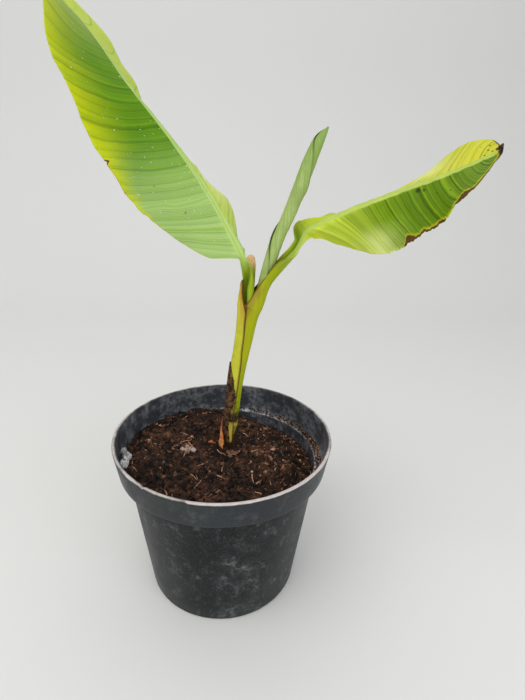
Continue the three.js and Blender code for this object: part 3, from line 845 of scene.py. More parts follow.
def join_strand(stalk, leaf, rows):
    """Joins stalk rows and blade rows into one spine. In the stalk the spine is the gutter's lowest
    line, a wall inside the keel, and it eases over to the midrib's own line."""
    t, spine, up = blade_frames(leaf, rows)
    count = len(stalk["centre"])
    centre = np.concatenate([stalk["centre"], spine[1:]])
    run = lengths(centre)
    run = run - run[count - 1]

    def carried_on(values, last=None):
        last = values[-1] if last is None else last
        return np.concatenate([values, np.full(rows - 1, last)])

    inner = carried_on(stalk["half"] - stalk["wall"])
    keel = np.concatenate([stalk["keel"], np.repeat(stalk["keel"][-1:], rows - 1, 0)])
    sink = inner * (1 - smoothstep(run, -24, 2))
    line = soften(centre, 3) + keel * sink[:, None]
    tangents = unit(np.gradient(line, axis=0))
    above = np.concatenate([np.repeat(up[:1], count - 1, 0), up])
    ups = square_to(lerp(-keel, above, smoothstep(run, -30, 6)[:, None]), tangents)
    return {
        "line": line,
        "centre": centre,
        "tangents": tangents,
        "up": ups,
        "lateral": np.cross(tangents, ups),
        "run": run,
        "along": np.concatenate([np.zeros(count - 1), t]),
        "inner": inner,
        "wall": carried_on(stalk["wall"]),
        "share": carried_on(stalk["share"], 1.0),
        "arm": {side: carried_on(arm) for side, arm in stalk["arm"].items()},
    }


def section_lanes(reach, rib_half, columns):
    """Distances from the spine out to the margin: an even step over the rib, then to the margin."""
    near = max(3, columns // 6)
    over_rib = rib_half * 1.9 * np.linspace(0, 1, near + 1)
    beyond = rib_half * 1.9 + (reach[:, None] - rib_half * 1.9) * np.linspace(0, 1, columns - near)
    return np.concatenate([over_rib, beyond[:, 1:]], axis=1)


def half_sheet(strand, leaf, side, columns, trim):
    """One half of the sheet. A point's direction across turns with its distance x from the spine: x
    over the radius in the stalk, up to the arm's angle, then a cup, and in the blade the fold plus
    curl x / reach. The place is the running sum of those directions."""
    run, t = strand["run"], strand["along"]
    width = leaf["half_width"] * blade_share(leaf, t) * trim(t, side)
    arm = strand["arm"][side]
    spread = np.maximum(width, np.interp(run, *leaf["foot_reach"][side]))
    opening = smoothstep(run, *leaf["opens"])
    reach = np.maximum(lerp(arm * strand["inner"], spread, opening), 1.0)
    rib = np.minimum(lerp(*leaf["rib"], t), 0.35 * reach)[:, None]
    x = section_lanes(reach, rib, columns)
    fold = bend(leaf["fold"][side], t)
    if side > 0:
        fold = fold - leaf["tuck"] * (1 - smoothstep(t, 0, 0.22))
    stalk_angle = np.minimum(x / strand["inner"][:, None], arm[:, None])
    blade_angle = fold[:, None] * smoothstep(x / rib, 0.7, 1.9) + leaf["curl"] * x / reach[:, None]
    cup = np.interp(run, *leaf["cup"][side])[:, None] * smoothstep(x / rib, 0.4, 2.2)
    unrolled = smoothstep(run, *leaf["unrolls"])[:, None]
    settled = smoothstep(run, *leaf["settles"][side])[:, None]
    angle = lerp(lerp(stalk_angle, cup, unrolled), blade_angle, settled)
    middle = (angle[:, 1:] + angle[:, :-1]) / 2
    step = np.diff(x, axis=1)

    def summed(directions):
        return np.pad(np.cumsum(directions * step, axis=1), ((0, 0), (1, 0)))[..., None]

    lateral, up = strand["lateral"][:, None], strand["up"][:, None]
    place = strand["line"][:, None] + side * summed(np.cos(middle)) * lateral
    place = place + summed(np.sin(middle)) * up
    normal = np.cos(angle)[..., None] * up - side * np.sin(angle)[..., None] * lateral
    return {"x": side * x, "edge": reach[:, None] - x, "place": place, "normal": normal}


def sheet_grid(strand, leaf, columns, trim):
    """Both halves side by side, from the left margin to the right, with their vein phase. Root is
    the place along the midrib where the vein through a point starts."""
    left = half_sheet(strand, leaf, -1, columns, trim)
    right = half_sheet(strand, leaf, 1, columns, trim)
    grid = {key: np.concatenate([left[key][:, :0:-1], right[key]], axis=1) for key in left}
    share = np.abs(grid["x"]) / np.maximum(np.abs(grid["x"]) + grid["edge"], 1e-6)
    t = strand["along"][:, None]
    lead = lerp(*leaf["vein_lead"], smoothstep(t, 0.08, 0.4))
    root = t - lead * (0.4 * share + 0.6 * share**2)
    plain = leaf["veins"] * root + np.where(grid["x"] < 0, 0.37, 0.0) + 40
    grid["share"] = share
    grid["root"] = root
    grid["phase"] = plain + 0.22 * np.sin(1.7 * plain) + 0.1 * np.sin(4.1 * plain + 1)
    grid["run"] = np.broadcast_to(strand["run"][:, None], share.shape)
    grid["along"] = np.broadcast_to(t, share.shape)
    return grid


def flatten_depth(grid, strand):
    """Draws the sheet in towards its centre line by the depth share, front to back only."""
    front = stalk_frame(strand["tangents"])[1][:, None]
    offset = grid["place"] - strand["centre"][:, None]
    depth = np.sum(offset * front, axis=-1, keepdims=True)
    grid["place"] = grid["place"] + (strand["share"] - 1)[:, None, None] * depth * front


def blade_relief(grid, leaf):
    """Height of the upper face: pleats as a sine of the vein phase, a groove at each whole phase,
    a margin that ripples, and noise."""
    share, t, phase = grid["share"], grid["along"], grid["phase"]
    opened = smoothstep(grid["run"], 2, 30)
    off_rib = smoothstep(share, 0.02, 0.12) * (1 - 0.5 * smoothstep(share, 0.8, 1.0))
    nearness = 2 * np.abs(phase - np.floor(phase) - 0.5)
    groove = smoothstep(nearness, 0.72, 1.0)
    wave = np.sin(np.pi * phase) + 0.25 * np.sin(4 * np.pi * phase + 1.0)
    pleats = leaf["pleat"] * (wave * 0.55 - groove) * off_rib * opened
    amount, turns = leaf["ripple"]
    shift = np.where(grid["x"] < 0, 0.8, 2.6) + 3 * noise(grid["place"], 60, 5)
    wobble = np.sin(TAU * turns * t + shift)
    ripple = amount * share**3 * wobble * opened * (1 - smoothstep(t, 0.93, 1.0))
    uneven = opened * share * 0.9 * noise(grid["place"], 26, 11)
    uneven = uneven + opened * 0.22 * noise(grid["place"], 7, 23)
    veined = 0.2 + 0.8 * smoothstep(grid["root"], *leaf["smooth_foot"])
    calm = 1 - leaf["far_calm"] * smoothstep(grid["x"], 0, 3)
    return pleats * veined * calm + ripple + uneven


def build_sheet(name, strand, leaf, columns, trim, masks, material, slot, nodes):
    """The sheet as a closed shell: the wall in the stalk, half a millimetre in the blade, and the
    keel bulging down under the rib. Returns the grid, for what lies on the leaf."""
    grid = sheet_grid(strand, leaf, columns, trim)
    flatten_depth(grid, strand)
    run, t = grid["run"], grid["along"]
    rib_half = lerp(*leaf["rib"], t)
    off = np.abs(grid["x"]) / rib_half
    opened = smoothstep(run, -8, 20)
    crown = leaf["crown"] * np.sqrt(np.clip(1 - off**2, 0, 1)) - leaf["rib_groove"] * bump(off, 0, 0.28)
    upper = grid["place"] + grid["normal"] * (blade_relief(grid, leaf) + crown * opened)[..., None]
    thin_edge = smoothstep(grid["edge"], 0.0, 2.5)
    thick = lerp(strand["wall"][:, None] * lerp(0.45, 1.0, thin_edge), 0.55, smoothstep(run, -10, 25))
    keel = lerp(*leaf["keel"], t) * np.sqrt(np.clip(1 - (off / 1.15) ** 2, 0, 1))
    down = thick + keel * smoothstep(run, -14, 14) * (1 - 0.4 * smoothstep(t, 0.9, 1))
    layers = {
        "lane": grid["x"],
        "run": run,
        "edge": grid["edge"],
        "rib": rib_half,
        "vein": np.where(run < 0, 40.0, grid["phase"]),
        "stalk": 1 - smoothstep(run, *leaf["greens"]),
        "pale": (1 - smoothstep(grid["root"], *leaf["pale"])) * smoothstep(run, *leaf["pale_from"]),
    }
    layers.update(masks(t, grid["x"], grid["edge"], run))
    add_shell(name, upper, upper - grid["normal"] * down[..., None], material, slot, nodes, **layers)
    grid["upper"] = upper
    return grid


def stem_half(t):
    """Half width of the stem: from the foot's to the fork's along t^4."""
    return lerp(*STEM_HALF, t**4)


def fork_waist(height):
    """How much less than round the stem is on its right, just under the fork."""
    return 1.3 * bump(height, 297, 22)


def right_strand():
    """Rows from the soil up the stem, along the right stalk and out over the right blade."""
    up = np.linspace(0.0, 1.0, STEM_ROWS)
    out = np.linspace(0.02, 0.97, 66)
    stem, stem_tangents = curve(STEM_AXIS, up)
    stalk, stalk_tangents = curve(RIGHT_STALK_AXIS, out)
    wrap = 1 - smoothstep(out, 0, 0.36)
    flare = smoothstep(out, 0.72, 1)

    def both(on_stem, on_stalk):
        return np.concatenate([on_stem * np.ones(STEM_ROWS), on_stalk])

    keel = np.concatenate([stalk_frame(stem_tangents)[0], stalk_frame(stalk_tangents)[0]])
    centre = np.concatenate([stem, stalk])
    slim = fork_waist(centre[:, 2])
    half = both(stem_half(up) + 0.1, lerp(5.9, STEM_HALF[1] + 0.1, wrap) - 1.2 * flare)
    rows = {
        "centre": centre - slim[:, None] * keel,
        "keel": unit(soften(keel, 4)),
        "half": half - slim,
        "wall": both(1.2, lerp(1.2, 2.2, smoothstep(out, 0, 0.5))),
        "share": both(STEM_DEPTH, lerp(0.95, STEM_DEPTH, wrap)),
        "arm": {
            1: np.radians(both(lerp(78, 121, up**2), lerp(121, 142, smoothstep(out, 0, 0.45)))),
            -1: np.radians(both(150.0, lerp(150, 140, smoothstep(out, 0, 0.4)))),
        },
    }
    return join_strand(rows, RIGHT_LEAF, 250)


def left_strand():
    """Rows along the left stalk and out over the left blade."""
    t = np.linspace(0.0, 0.98, 60)
    centre, tangents = curve(LEFT_STALK_AXIS, t)
    right, front = stalk_frame(tangents)
    turn = math.radians(-27)
    one = np.ones_like(t)
    rows = {
        "centre": centre,
        "keel": math.cos(turn) * right + math.sin(turn) * front,
        "half": bend([5.0, 5.9, 2.6], t),
        "wall": 1.5 * one,
        "share": 0.96 * one,
        "arm": {
            1: np.radians(lerp(125, 95, smoothstep(t, 0.5, 0.95))),
            -1: math.radians(125) * one,
        },
    }
    return join_strand(rows, LEFT_LEAF, 310)


def box_between(t, low, high, fade):
    """1 between low and high, easing to 0 over the fade on both sides."""
    return smoothstep(t, low - fade, low) * (1 - smoothstep(t, high, high + fade))


def right_trim(t, side):
    """The front margin has died back between half way and the tip; noise frays it."""
    worn = bells(t, (0.15, 0.6, 0.11), (0.12, 0.76, 0.06), (0.03, 0.9, 0.04), (0.14, 0.09, 0.07),
                 (0.2, 0.045, 0.035))
    fray = waves(t, (0.008, 137, 0), (0.006, 311, 1), (0.006, 67, 2)) * (t > 0.3)
    uneven = waves(t, (0.015, 23, 0), (0.006, 71, 2)) * smoothstep(t, 0.05, 0.2)
    waist = 0.6 * bump(t, 0.07, 0.045) * (side < 0)
    return 1 - (worn + fray) * (side > 0) - waist + uneven


def spot_mask(t, x, leaf_length, spots):
    """1 inside small round spots at (share along, mm across, radius in mm), and 0 outside them."""
    found = 0.0
    for along, across, radius in spots:
        away = np.hypot((t - along) * leaf_length, x - across)
        found = np.maximum(found, 1 - smoothstep(away, 0.6 * radius, 1.3 * radius))
    return found


def right_dry(t, x, edge, run):
    """Depth in mm of the dry strip along the front margin, less the distance from the margin."""
    depth = 7.0 * bump(t, 0.475, 0.024) + 2.9 * box_between(t, 0.5, 0.68, 0.02)
    depth = depth + 6.6 * bump(t, 0.8, 0.045) + 2.2 * box_between(t, 0.86, 1.0, 0.03)
    depth = np.where(x > 0, depth, 3.0 * smoothstep(t, 0.93, 0.99))
    strip = depth - lerp(5.0, 1.0, np.clip(depth / 0.8, 0, 1)) - edge
    tip = (t - 0.985) * 170
    return np.where(run > 5, np.maximum(strip, tip), -20.0)


def left_trim(t, side):
    """Two dry nicks and shallow notches in the left margin, and a margin that waves a little."""
    nicks = bells(t, (0.02, 0.421, 0.003), (0.012, 0.65, 0.003))
    notches = bells(t, (0.01, 0.215, 0.01), (0.012, 0.25, 0.008), (0.01, 0.3, 0.01))
    uneven = waves(t, (0.010, 31, side), (0.004, 97, 0)) * smoothstep(t, 0.05, 0.2)
    shoulder = 0.5 * bump(t, 0.01, 0.022) * (side > 0)
    return 1 - (nicks + notches) * (side < 0) - shoulder + uneven


def left_dry(t, x, edge, run):
    """Dry tissue round the two nicks and along short lengths of the left margin."""
    depth = bells(t, (2.2, 0.421, 0.007), (1.4, 0.65, 0.006), (0.9, 0.25, 0.02))
    depth = depth + 0.9 * box_between(t, 0.33, 0.42, 0.02)
    depth = np.where(x < 0, depth, 0.0)
    return np.where(run > 5, depth - lerp(5.0, 0.9, np.clip(depth / 0.8, 0, 1)) - edge, -20.0)


def left_masks(t, x, edge, run):
    """Width of the yellow margin in mm, painted sheen, painted light on the far half, spots and dry
    tissue.
    """
    return {
        "margin": np.where(x < 0, 1 + 45 * smoothstep(t, 0.2, 0.55), 2.0),
        "bleach": 0.8 * bump(t, 0.25, 0.07) * smoothstep(x, 3, 12)
        + 0.1 * smoothstep(t, 0.6, 0.8) * smoothstep(-x, 0, 4),
        # painted light on the far half, and on the left half near the tip
        "far": smoothstep(x, 1, 5) * smoothstep(t, 0.03, 0.12)
        + 0.5 * smoothstep(t, 0.66, 0.9) * smoothstep(-x, 0, 6),
        "spot": spot_mask(t, x, 285, LEFT_SPOTS),
        "dry": left_dry(t, x, edge, run),
    }


def right_masks(t, x, edge, run):
    """The same masks for the right leaf."""
    return {
        "margin": 2.6 + 2 * t + 9 * bump(run, 4, 24),
        # painted sheen
        "bleach": 0.9 * bump(t, 0.6, 0.09) * smoothstep(-x, 6, 20)
        + 0.85 * bump(t, 0.33, 0.1) * smoothstep(x, 17, 36),
        # painted light on the far half
        "far": smoothstep(-x, 0, 4) * smoothstep(t, 0.2, 0.45),
        "spot": spot_mask(t, x, 150, RIGHT_SPOTS),
        "dry": right_dry(t, x, edge, run),
    }


# Stem, sheaths and rolled leaf


def section_points(centre, right, front, angle, half, depth):
    """Points at angles round an ellipse: centre + half cos(a) right + depth sin(a) front."""
    across = (half * np.cos(angle))[..., None] * right[:, None]
    return centre[:, None] + across + (depth * np.sin(angle))[..., None] * front[:, None]


def wrap_sheath(name, spine, run, half, wall, start, end, columns, relief, material, slot, node):
    """An arc of an elliptical shell between two angles in degrees at each row. Relief gives how far
    the outer face stands off from place and share across, and the wall thins at both margins."""
    centre, tangents = spine
    right, front = stalk_frame(tangents)
    share = np.linspace(0.0, 1.0, columns)[None, :]
    angle = np.radians(lerp(start[:, None], end[:, None], share))

    def shell(reach):
        return section_points(centre, right, front, angle, reach, reach * STEM_DEPTH)

    half = half[:, None]
    outer = shell(half + relief(shell(half), share))
    inner = shell(half - wall * np.sin(np.pi * np.clip(share, 0.06, 0.94)) ** 0.35)
    lane = angle * half
    edge = np.minimum(lane - lane[:, :1], lane[:, -1:] - lane)
    layers = {"lane": lane, "run": run[:, None], "edge": edge}
    add_shell(name, outer, inner, material, slot, (node,), **layers)


def stem_place(height):
    """Where along the stem's axis a height lies, read off a finely stepped curve."""
    t = np.linspace(0, 1, 400)
    return np.interp(height, curve(STEM_AXIS, t)[0][:, 2], t)


def stem_stretch(low, high, rows):
    """Shares t from one height of the stem to another, its spine and its half width there."""
    t = np.linspace(0.0, 1.0, rows)
    place = lerp(stem_place(low), stem_place(high), t)
    return t, curve(STEM_AXIS, place), stem_half(place)


def build_core(material):
    """The stem's older heart, a tube just under its sheaths, sunk into the soil."""
    rows, around = 110, 72
    t = np.linspace(0.0, 1.0, rows)
    centre, tangents = curve(STEM_AXIS, t)
    right, front = stalk_frame(tangents)
    angle = np.linspace(0, TAU, around, endpoint=False)[None, :] * np.ones((rows, 1))
    half = (stem_half(t) - 0.95 - 1.2 * fork_waist(centre[:, 2]))[:, None]
    plain = section_points(centre, right, front, angle, half, half * STEM_DEPTH)
    swell = 1.4 * bump(plain[..., 2], 146, 8) * (0.6 + 0.4 * np.sin(3 * angle))
    ribs = 0.12 * np.sin(17 * angle + 2 * noise(plain, 30, 3)) + 0.25 * noise(plain, 12, 4)
    grown = half + swell + ribs
    rings = section_points(centre, right, front, angle, grown, grown * STEM_DEPTH)
    rings[0, :, 2] -= 4.0
    rings = np.concatenate([rings[:1] - [0, 0, 1.0], rings])
    points, faces = tube(rings)
    lane = np.concatenate([(angle * half)[:1], angle * half])
    layers = {
        "lane": np.append(lane, [0, 0]),
        "run": np.append(rings[:, :, 2] - 300, [-150, 0]),
        "edge": np.full(len(points), 9.0),
        "under": np.zeros(len(points)),
    }
    add_piece("pseudostem_core", points, faces, material, ("pseudostem",), layers)


def build_yellow_sheath(material):
    """The old leaf's sheath: it rises from the soil round the left of the stem, a seam at its front
    and back, and dries to a tip that leans on the left stalk."""
    t = np.linspace(0.0, 1.0, 190)
    spine = curve(YELLOW_AXIS, t)
    height = spine[0][:, 2]
    half = stem_half(stem_place(np.minimum(height, FORK_HEIGHT))) + 0.3
    half = half * lerp(1.0, 0.8, smoothstep(height, 302, 330))
    wavy = waves(t, (2.0, 13, 0), (1.2, 37, 1))
    start = np.interp(height, SEAM_HEIGHTS, SEAM_ANGLES) + wavy
    start = lerp(soften(start, 4), 147, smoothstep(height, 318, 333))
    end = np.interp(height, [149, 224, 306], [262, 262, 238]) - wavy
    end = lerp(end, 152, smoothstep(height, 312, 333))

    def relief(place, share):
        fibres = 0.10 * np.sin(85 * share + 1.5 * noise(place, 40, 2))
        dent = -0.5 * bump(share, 0.25, 0.06) * smoothstep(height, 262, 290)[:, None]
        return fibres + dent + 0.3 * noise(place, 9, 6) + 0.12 * noise(place, 3, 7)

    wrap_sheath("old_leaf_sheath", spine, height, half, 1.5, start, end, 56, relief,
                material, "sheath_yellow", "yellow_sheath")


def build_dead_sheath(material):
    """The dead sheath on the lower stem: crisp, ragged and pulled off the stem at its margins."""
    t, spine, half = stem_stretch(146.6, 245.0, 110)
    point = 0.96 * smoothstep(t, 0.52, 1)
    ragged = waves(t, (5, 17, 0), (4, 41, 2), (3, 97, 0))
    seam = np.interp(spine[0][:, 2], DEAD_SEAM_HEIGHTS, DEAD_SEAM_ANGLES)
    start = soften(seam, 3) + (ragged + 4 * np.sin(173 * t + 1)) * (1 - point)
    end = lerp(250 - ragged, 171.5, point)

    def relief(place, share):
        folds = 0.45 * np.sin(26 * share + 3 * t[:, None] + 2.2 * noise(place, 24, 8))
        lift = 0.9 * (bump(share, 0.0, 0.08) + bump(share, 1.0, 0.08))
        return folds + lift * (0.5 + 0.5 * np.sin(19 * t[:, None])) + 0.35 * noise(place, 5, 9)

    wrap_sheath("dead_sheath_skin", spine, lengths(spine[0]), half + 0.8, 1.3, start, end, 64,
                relief, material, "sheath_brown", "dead_sheath")


def build_orange_sheath(material):
    """The torn sliver of fresh orange sheath at the foot, on the left."""
    t, spine, half = stem_stretch(149.5, 184.0, 70)
    point = 0.9 * smoothstep(t, 0.3, 0.75) + 0.08 * smoothstep(t, 0.75, 1)
    start = lerp(128 + 3 * np.sin(23 * t), 166, point)
    end = lerp(208 - 3 * np.sin(31 * t), 171, point)

    def relief(place, share):
        return 0.3 * np.sin(14 * share + 5 * t[:, None]) + 0.25 * noise(place, 5, 12)

    wrap_sheath("torn_sheath_sliver", spine, lengths(spine[0]), half + 2.6 + 2.8 * (1 - t), 1.2,
                start, end, 30, relief, material, "sheath_orange", "orange_sheath")


def build_rolled_leaf(material):
    """The young leaf, still rolled: a sheet wound nearly one and a half times. Its radius and the
    angle of its outer edge follow tables along the leaf, and each turn lies inside the last."""
    t = np.linspace(0.0, 1.0, 220)
    centre, tangents = curve(SPEAR_AXIS, t)
    right, front = stalk_frame(tangents)
    radius = soften(np.interp(t, ROLL_PLACES, ROLL_RADII), 5)[:, None]
    outer_edge = np.radians(soften(np.interp(t, EDGE_PLACES, EDGE_ANGLES), 8))
    u = np.linspace(0.0, 1.0, 150)[None, :]
    angle = outer_edge[:, None] + TAU * ROLL_TURNS * u

    def wind(reach):
        return section_points(centre, right, front, angle, reach, reach)

    wound = radius * (1 - 0.15 * u * ROLL_TURNS)
    lift = 0.12 * radius * bump(u, 0, 0.05)
    lane = u * TAU * ROLL_TURNS * 6.4
    pleat = 0.10 * np.sin(lane * 1.9 + 4 * t[:, None]) + 0.05 * np.sin(lane * 4.7)
    wobble = 0.35 * noise(wind(wound), 16, 14) * np.minimum(radius / 3, 1)
    grown = wound + lift + pleat + wobble
    within = grown - 0.55 * np.minimum(radius / 2, 1)
    add_shell("rolled_leaf_spiral", wind(grown), wind(within), material, "leaf_rolled",
              ("rolled_leaf",), lane=lane, run=lengths(centre)[:, None], edge=lane)


def build_dry_stub(material):
    """The dried end of a cut leaf: a folded strip that widens upwards to a torn top."""
    t = np.linspace(0.0, 1.0, 60)
    x = np.linspace(-1.0, 1.0, 26)[None, :]
    centre, tangents = curve(STUB_AXIS, t)
    right, front = stalk_frame(tangents)
    half = lerp(1.8, 4.3, smoothstep(t, 0.2, 0.8))[:, None]
    fold = 1.3 * np.cos(2.6 * x + 1.2 * t[:, None]) + 0.5 * np.sin(7 * x)
    tear = (0.5 * np.sin(9 * x) - 4.6 * np.abs(x) ** 2.6) * smoothstep(t, 0.6, 1)[:, None]
    place = centre[:, None] + (x * half)[..., None] * right[:, None]
    place = place + (fold * half / 4)[..., None] * front[:, None]
    place = place + (tear * 0.8)[..., None] * tangents[:, None]
    place = place + 0.25 * noise(place, 3, 15)[..., None] * front[:, None]
    add_strip("cut_leaf_stub", place, 0.7 * front[:, None], x, half, lengths(centre), material,
              "dry_tan", ("dry_stub",))


def build_dry_flap(material):
    """The dry flap that lies curled on the soil in front of the stem's foot."""
    t = np.linspace(0.0, 1.0, 50)
    x = np.linspace(-1.0, 1.0, 20)[None, :]
    centre, tangents = curve(FLAP_AXIS, t)
    front = stalk_frame(tangents)[1]
    half = (3.1 * np.sqrt(np.clip(1 - (2 * t - 1) ** 2, 0.03, 1)))[:, None]
    ragged = 1 + 0.16 * np.sin(19 * t[:, None] + 2 * x) + 0.1 * np.sin(43 * t[:, None])
    arch = 1.9 * np.sin(2.1 * x + 1.1) + 0.6 * np.sin(6 * t[:, None] + 2 * x)
    place = centre[:, None] + (x * half * ragged * 0.85)[..., None] * front[:, None]
    place = place + [0, 0, 1.0] * (arch + 0.5)[..., None]
    place = place + [0, 0, 0.35] * noise(place, 2.5, 16)[..., None]
    add_strip("dry_flap_curl", place, [0, 0, 0.8], x, half, lengths(centre), material, "dry_tan",
              ("dry_flap",))


# Pot

# Radius and height down the outside and up the inside, with soft corners, from floor to floor.
POT_PROFILE = np.array([
    (30, 0), (52, 0), (66, 0), (73.6, 0), (75.4, 0.05), (77.2, 0.6), (78.3, 1.7), (78.8, 3.0),
    (81.5, 24), (84.5, 47), (87.5, 70), (90.5, 93), (93.4, 116), (95.6, 132), (96.6, 140),
    (97.0, 142.0), (97.4, 142.5), (98.2, 142.65), (101, 142.7), (103.6, 142.7), (104.7, 142.9),
    (105.3, 143.4), (105.6, 144.4), (106.5, 149.5), (107.6, 156), (108.7, 162.5), (109.4, 167),
    (109.9, 169.6), (110.0, 170.6), (109.8, 171.4), (109.2, 171.9), (108.4, 172.0),
    (107.3, 171.9), (106.6, 171.5), (106.1, 170.7), (105.9, 169.6), (105.3, 164), (104.6, 157),
    (103.8, 150), (103.3, 146.4), (102.6, 145.3), (101.2, 145.0), (97, 144.9), (95.4, 144.7),
    (94.7, 144.0), (94.6, 143.2), (94.3, 140), (93.0, 129), (89, 98), (85, 67), (81, 36),
    (77.6, 11), (76.6, 5.2), (75.2, 3.8), (73, 3.4), (60, 3.4), (30, 3.4),
])
LIP_ROW = 30.5
LEDGE_ROW = 41
# Share, angle in degrees and width in radians of each crusted stretch of the ledge.
CRUST_SPOTS = ((1.4, 69, 0.2), (0.6, 92, 0.06), (0.6, 46, 0.2), (0.45, 20, 0.5), (0.8, -14, 0.3))
DRAINS = 8
DRAIN_RADIUS = 5.5
DRAIN_REACH = 60.0


def build_pot(material):
    """A turned pot: the profile carried round the axis, a hair out of round, with a worn step and a
    nick in its rim, and drain holes cut through its floor."""
    angle = np.linspace(0, TAU, 256, endpoint=False)[None, :]
    radius, height = POT_PROFILE[:, :1], POT_PROFILE[:, 1:]

    def near(centre, width):
        return bump(angle_from(angle, centre), 0, width)

    tall = smoothstep(height, 60, 172)
    oval = 1 + tall * (0.0022 * np.sin(2 * angle + 0.6) + 0.0012 * np.sin(5 * angle))
    worn = 0.8 * smoothstep(angle_from(angle, -106.0), -0.008, 0.008)
    worn = worn * smoothstep(angle_from(angle, -32.0), 0.3, 0.0)
    worn = worn * (np.abs(angle_from(angle, -70.0)) < 1.2)
    sag = 1.5 * near(-129.6, 0.018) + 0.55 * worn + 0.25 * np.sin(3 * angle + 1)
    rings = polar(radius * oval, angle, height - smoothstep(height, 166, 172) * sag)
    row = np.arange(len(POT_PROFILE))[:, None]
    on_ledge = bump(radius, 96.6, 3.4) * (row >= LEDGE_ROW) * (height > 143.6)
    crusted = sum(share * near(centre, width) for share, centre, width in CRUST_SPOTS)
    up_wall = bump(row, LEDGE_ROW - 3, 3.0) * near(-22.0, 0.3) * 0.7
    inside = smoothstep(row, LIP_ROW + 1, LIP_ROW + 4) * np.ones_like(angle)
    layers = {
        "wear": np.append(bump(row, LIP_ROW, 2.6) * (0.75 + 0.5 * worn), [0, 0]),
        "inside": np.append(inside, [0, 1]),
        "crust": np.append(on_ledge * crusted + up_wall, [0, 0]),
    }
    points, faces = tube(rings)
    cut_drains(add_piece("nursery_pot", points, faces, material, ("pot",), layers))


def cut_drains(pot):
    """Cuts the round drain holes through the floor and applies the cut."""
    around = 28
    ring = np.linspace(0, TAU, around, endpoint=False)
    j = np.arange(around)
    following = (j + 1) % around
    sides = np.stack([j, following, following + around, j + around], -1)
    points, faces = [], []
    for hole in range(DRAINS):
        middle = polar(DRAIN_REACH, hole * TAU / DRAINS, 0.0)
        points += [middle + polar(DRAIN_RADIUS, ring, level) for level in (-2.0, 6.0)]
        faces += [g + 2 * around * hole for g in (sides, j[None, ::-1], j[None] + around)]
    mesh = make_mesh("drain_cutter", np.concatenate(points) * MM, faces, smooth=False)
    cutter = place_in_scene("drain_cutter", mesh)
    cut = pot.modifiers.new("drains", "BOOLEAN")
    cut.operation = "DIFFERENCE"
    cut.object = cutter
    whole = pot.data
    graph = bpy.context.evaluated_depsgraph_get()
    pot.data = bpy.data.meshes.new_from_object(pot.evaluated_get(graph))
    pot.modifiers.clear()
    bpy.data.objects.remove(cutter)
    for used in (whole, mesh):
        bpy.data.meshes.remove(used)


# Soil and what lies on it

# Rise in mm, then centre and width across x and across y, of each broad rise or hollow.
SOIL_RISES = (
    (2.4, -60, 38, -8, 50), (5.2, 66, 11, -30, 9), (-5.5, 8.6, 5.4, -5.4, 2.8), (3.2, -7, 5.5, 3, 5),
)
FIBRE_REACH = 92.0
STREWN = 900


def soil_bare(angle, low, high):
    """0 round the middle of the bare side, rising to 1 between two angles in degrees from it."""
    return smoothstep(np.abs(angle_from(angle, 25)), math.radians(low), math.radians(high))


def soil_spread(angle):
    """How far out the soil reaches: nearly to the band, but short of the step on the right."""
    return lerp(93.0, 102.2, soil_bare(angle, 72, 88))


def soil_height(x, y):
    """The soil's top: level, with lumps of two sizes, higher at the left, sloping down towards the
    bare step on the right, a hole in front of the stem and a clump further right."""
    radius, angle = np.hypot(x, y), np.arctan2(y, x)
    flat = np.stack([x, y, np.zeros_like(x)], -1)
    bare = 1 - soil_bare(angle, 35, 72)
    height = SOIL_TOP + 0.4 - 15.0 * bare * smoothstep(radius, 62, 92)
    height = height - 0.8 * (1 - bare) * smoothstep(radius, 90, 102)
    for rise, x_centre, x_width, y_centre, y_width in SOIL_RISES:
        height = height + rise * bump(x, x_centre, x_width) * bump(y, y_centre, y_width)
    height = height + 1.5 * rough(flat, 15, 2, 31) + 1.5 * np.abs(noise(flat, 5.5, 37))
    return height + 0.7 * noise(flat, 2.4, 41)


def on_soil(radius, angle):
    """Points on the soil's top at a radius and an angle."""
    x, y = radius * np.cos(angle), radius * np.sin(angle)
    return np.stack([x, y, soil_height(x, y)], -1)


def build_soil(material):
    """The soil body: a polar grid of heights, closed down the wall to the pot's floor."""
    angle = np.linspace(0, TAU, 288, endpoint=False)
    radius = np.linspace(0.012, 1.0, 132)[:, None] * soil_spread(angle[None, :])
    top = on_soil(radius, angle)
    outer = []
    for low in (LEDGE - 1.2, 128.0, 60.0, 4.0):
        level = np.minimum(low, top[-1, :, 2] - 0.6)
        reach = np.minimum(radius[-1], np.interp(level, [3.4, 142.0], [75.5, 93.6]))
        outer.append(polar(reach, angle, level))
    points, faces = tube(np.concatenate([top, np.array(outer)]))
    shade = 0.42 + 0.15 * noise(points, 30, 43) + 0.3 * noise(points, 4, 44)
    add_piece("potting_soil", points, faces, material, ("soil",), {"tint": shade})


def icosahedron():
    """Twelve corners, (a, b g, 0) with both signs and its cyclic turns for the golden ratio g, and
    the twenty faces whose corners are all neighbours."""
    g = (1 + 5**0.5) / 2
    signs = itertools.product((-1, 1), repeat=2)
    corners = np.array([np.roll((a, b * g, 0), k) for a, b in signs for k in range(3)], float)
    near = np.linalg.norm(corners[:, None] - corners[None], axis=-1) < 2.1
    threes = np.array(list(itertools.combinations(range(12), 3)))
    a, b, c = threes.T
    faces = threes[near[a, b] & near[b, c] & near[a, c]]
    a, b, c = (corners[faces[:, k]] for k in range(3))
    inward = np.sum(np.cross(b - a, c - a) * a, axis=1) < 0
    faces[inward] = faces[inward][:, ::-1]
    return unit(corners), faces


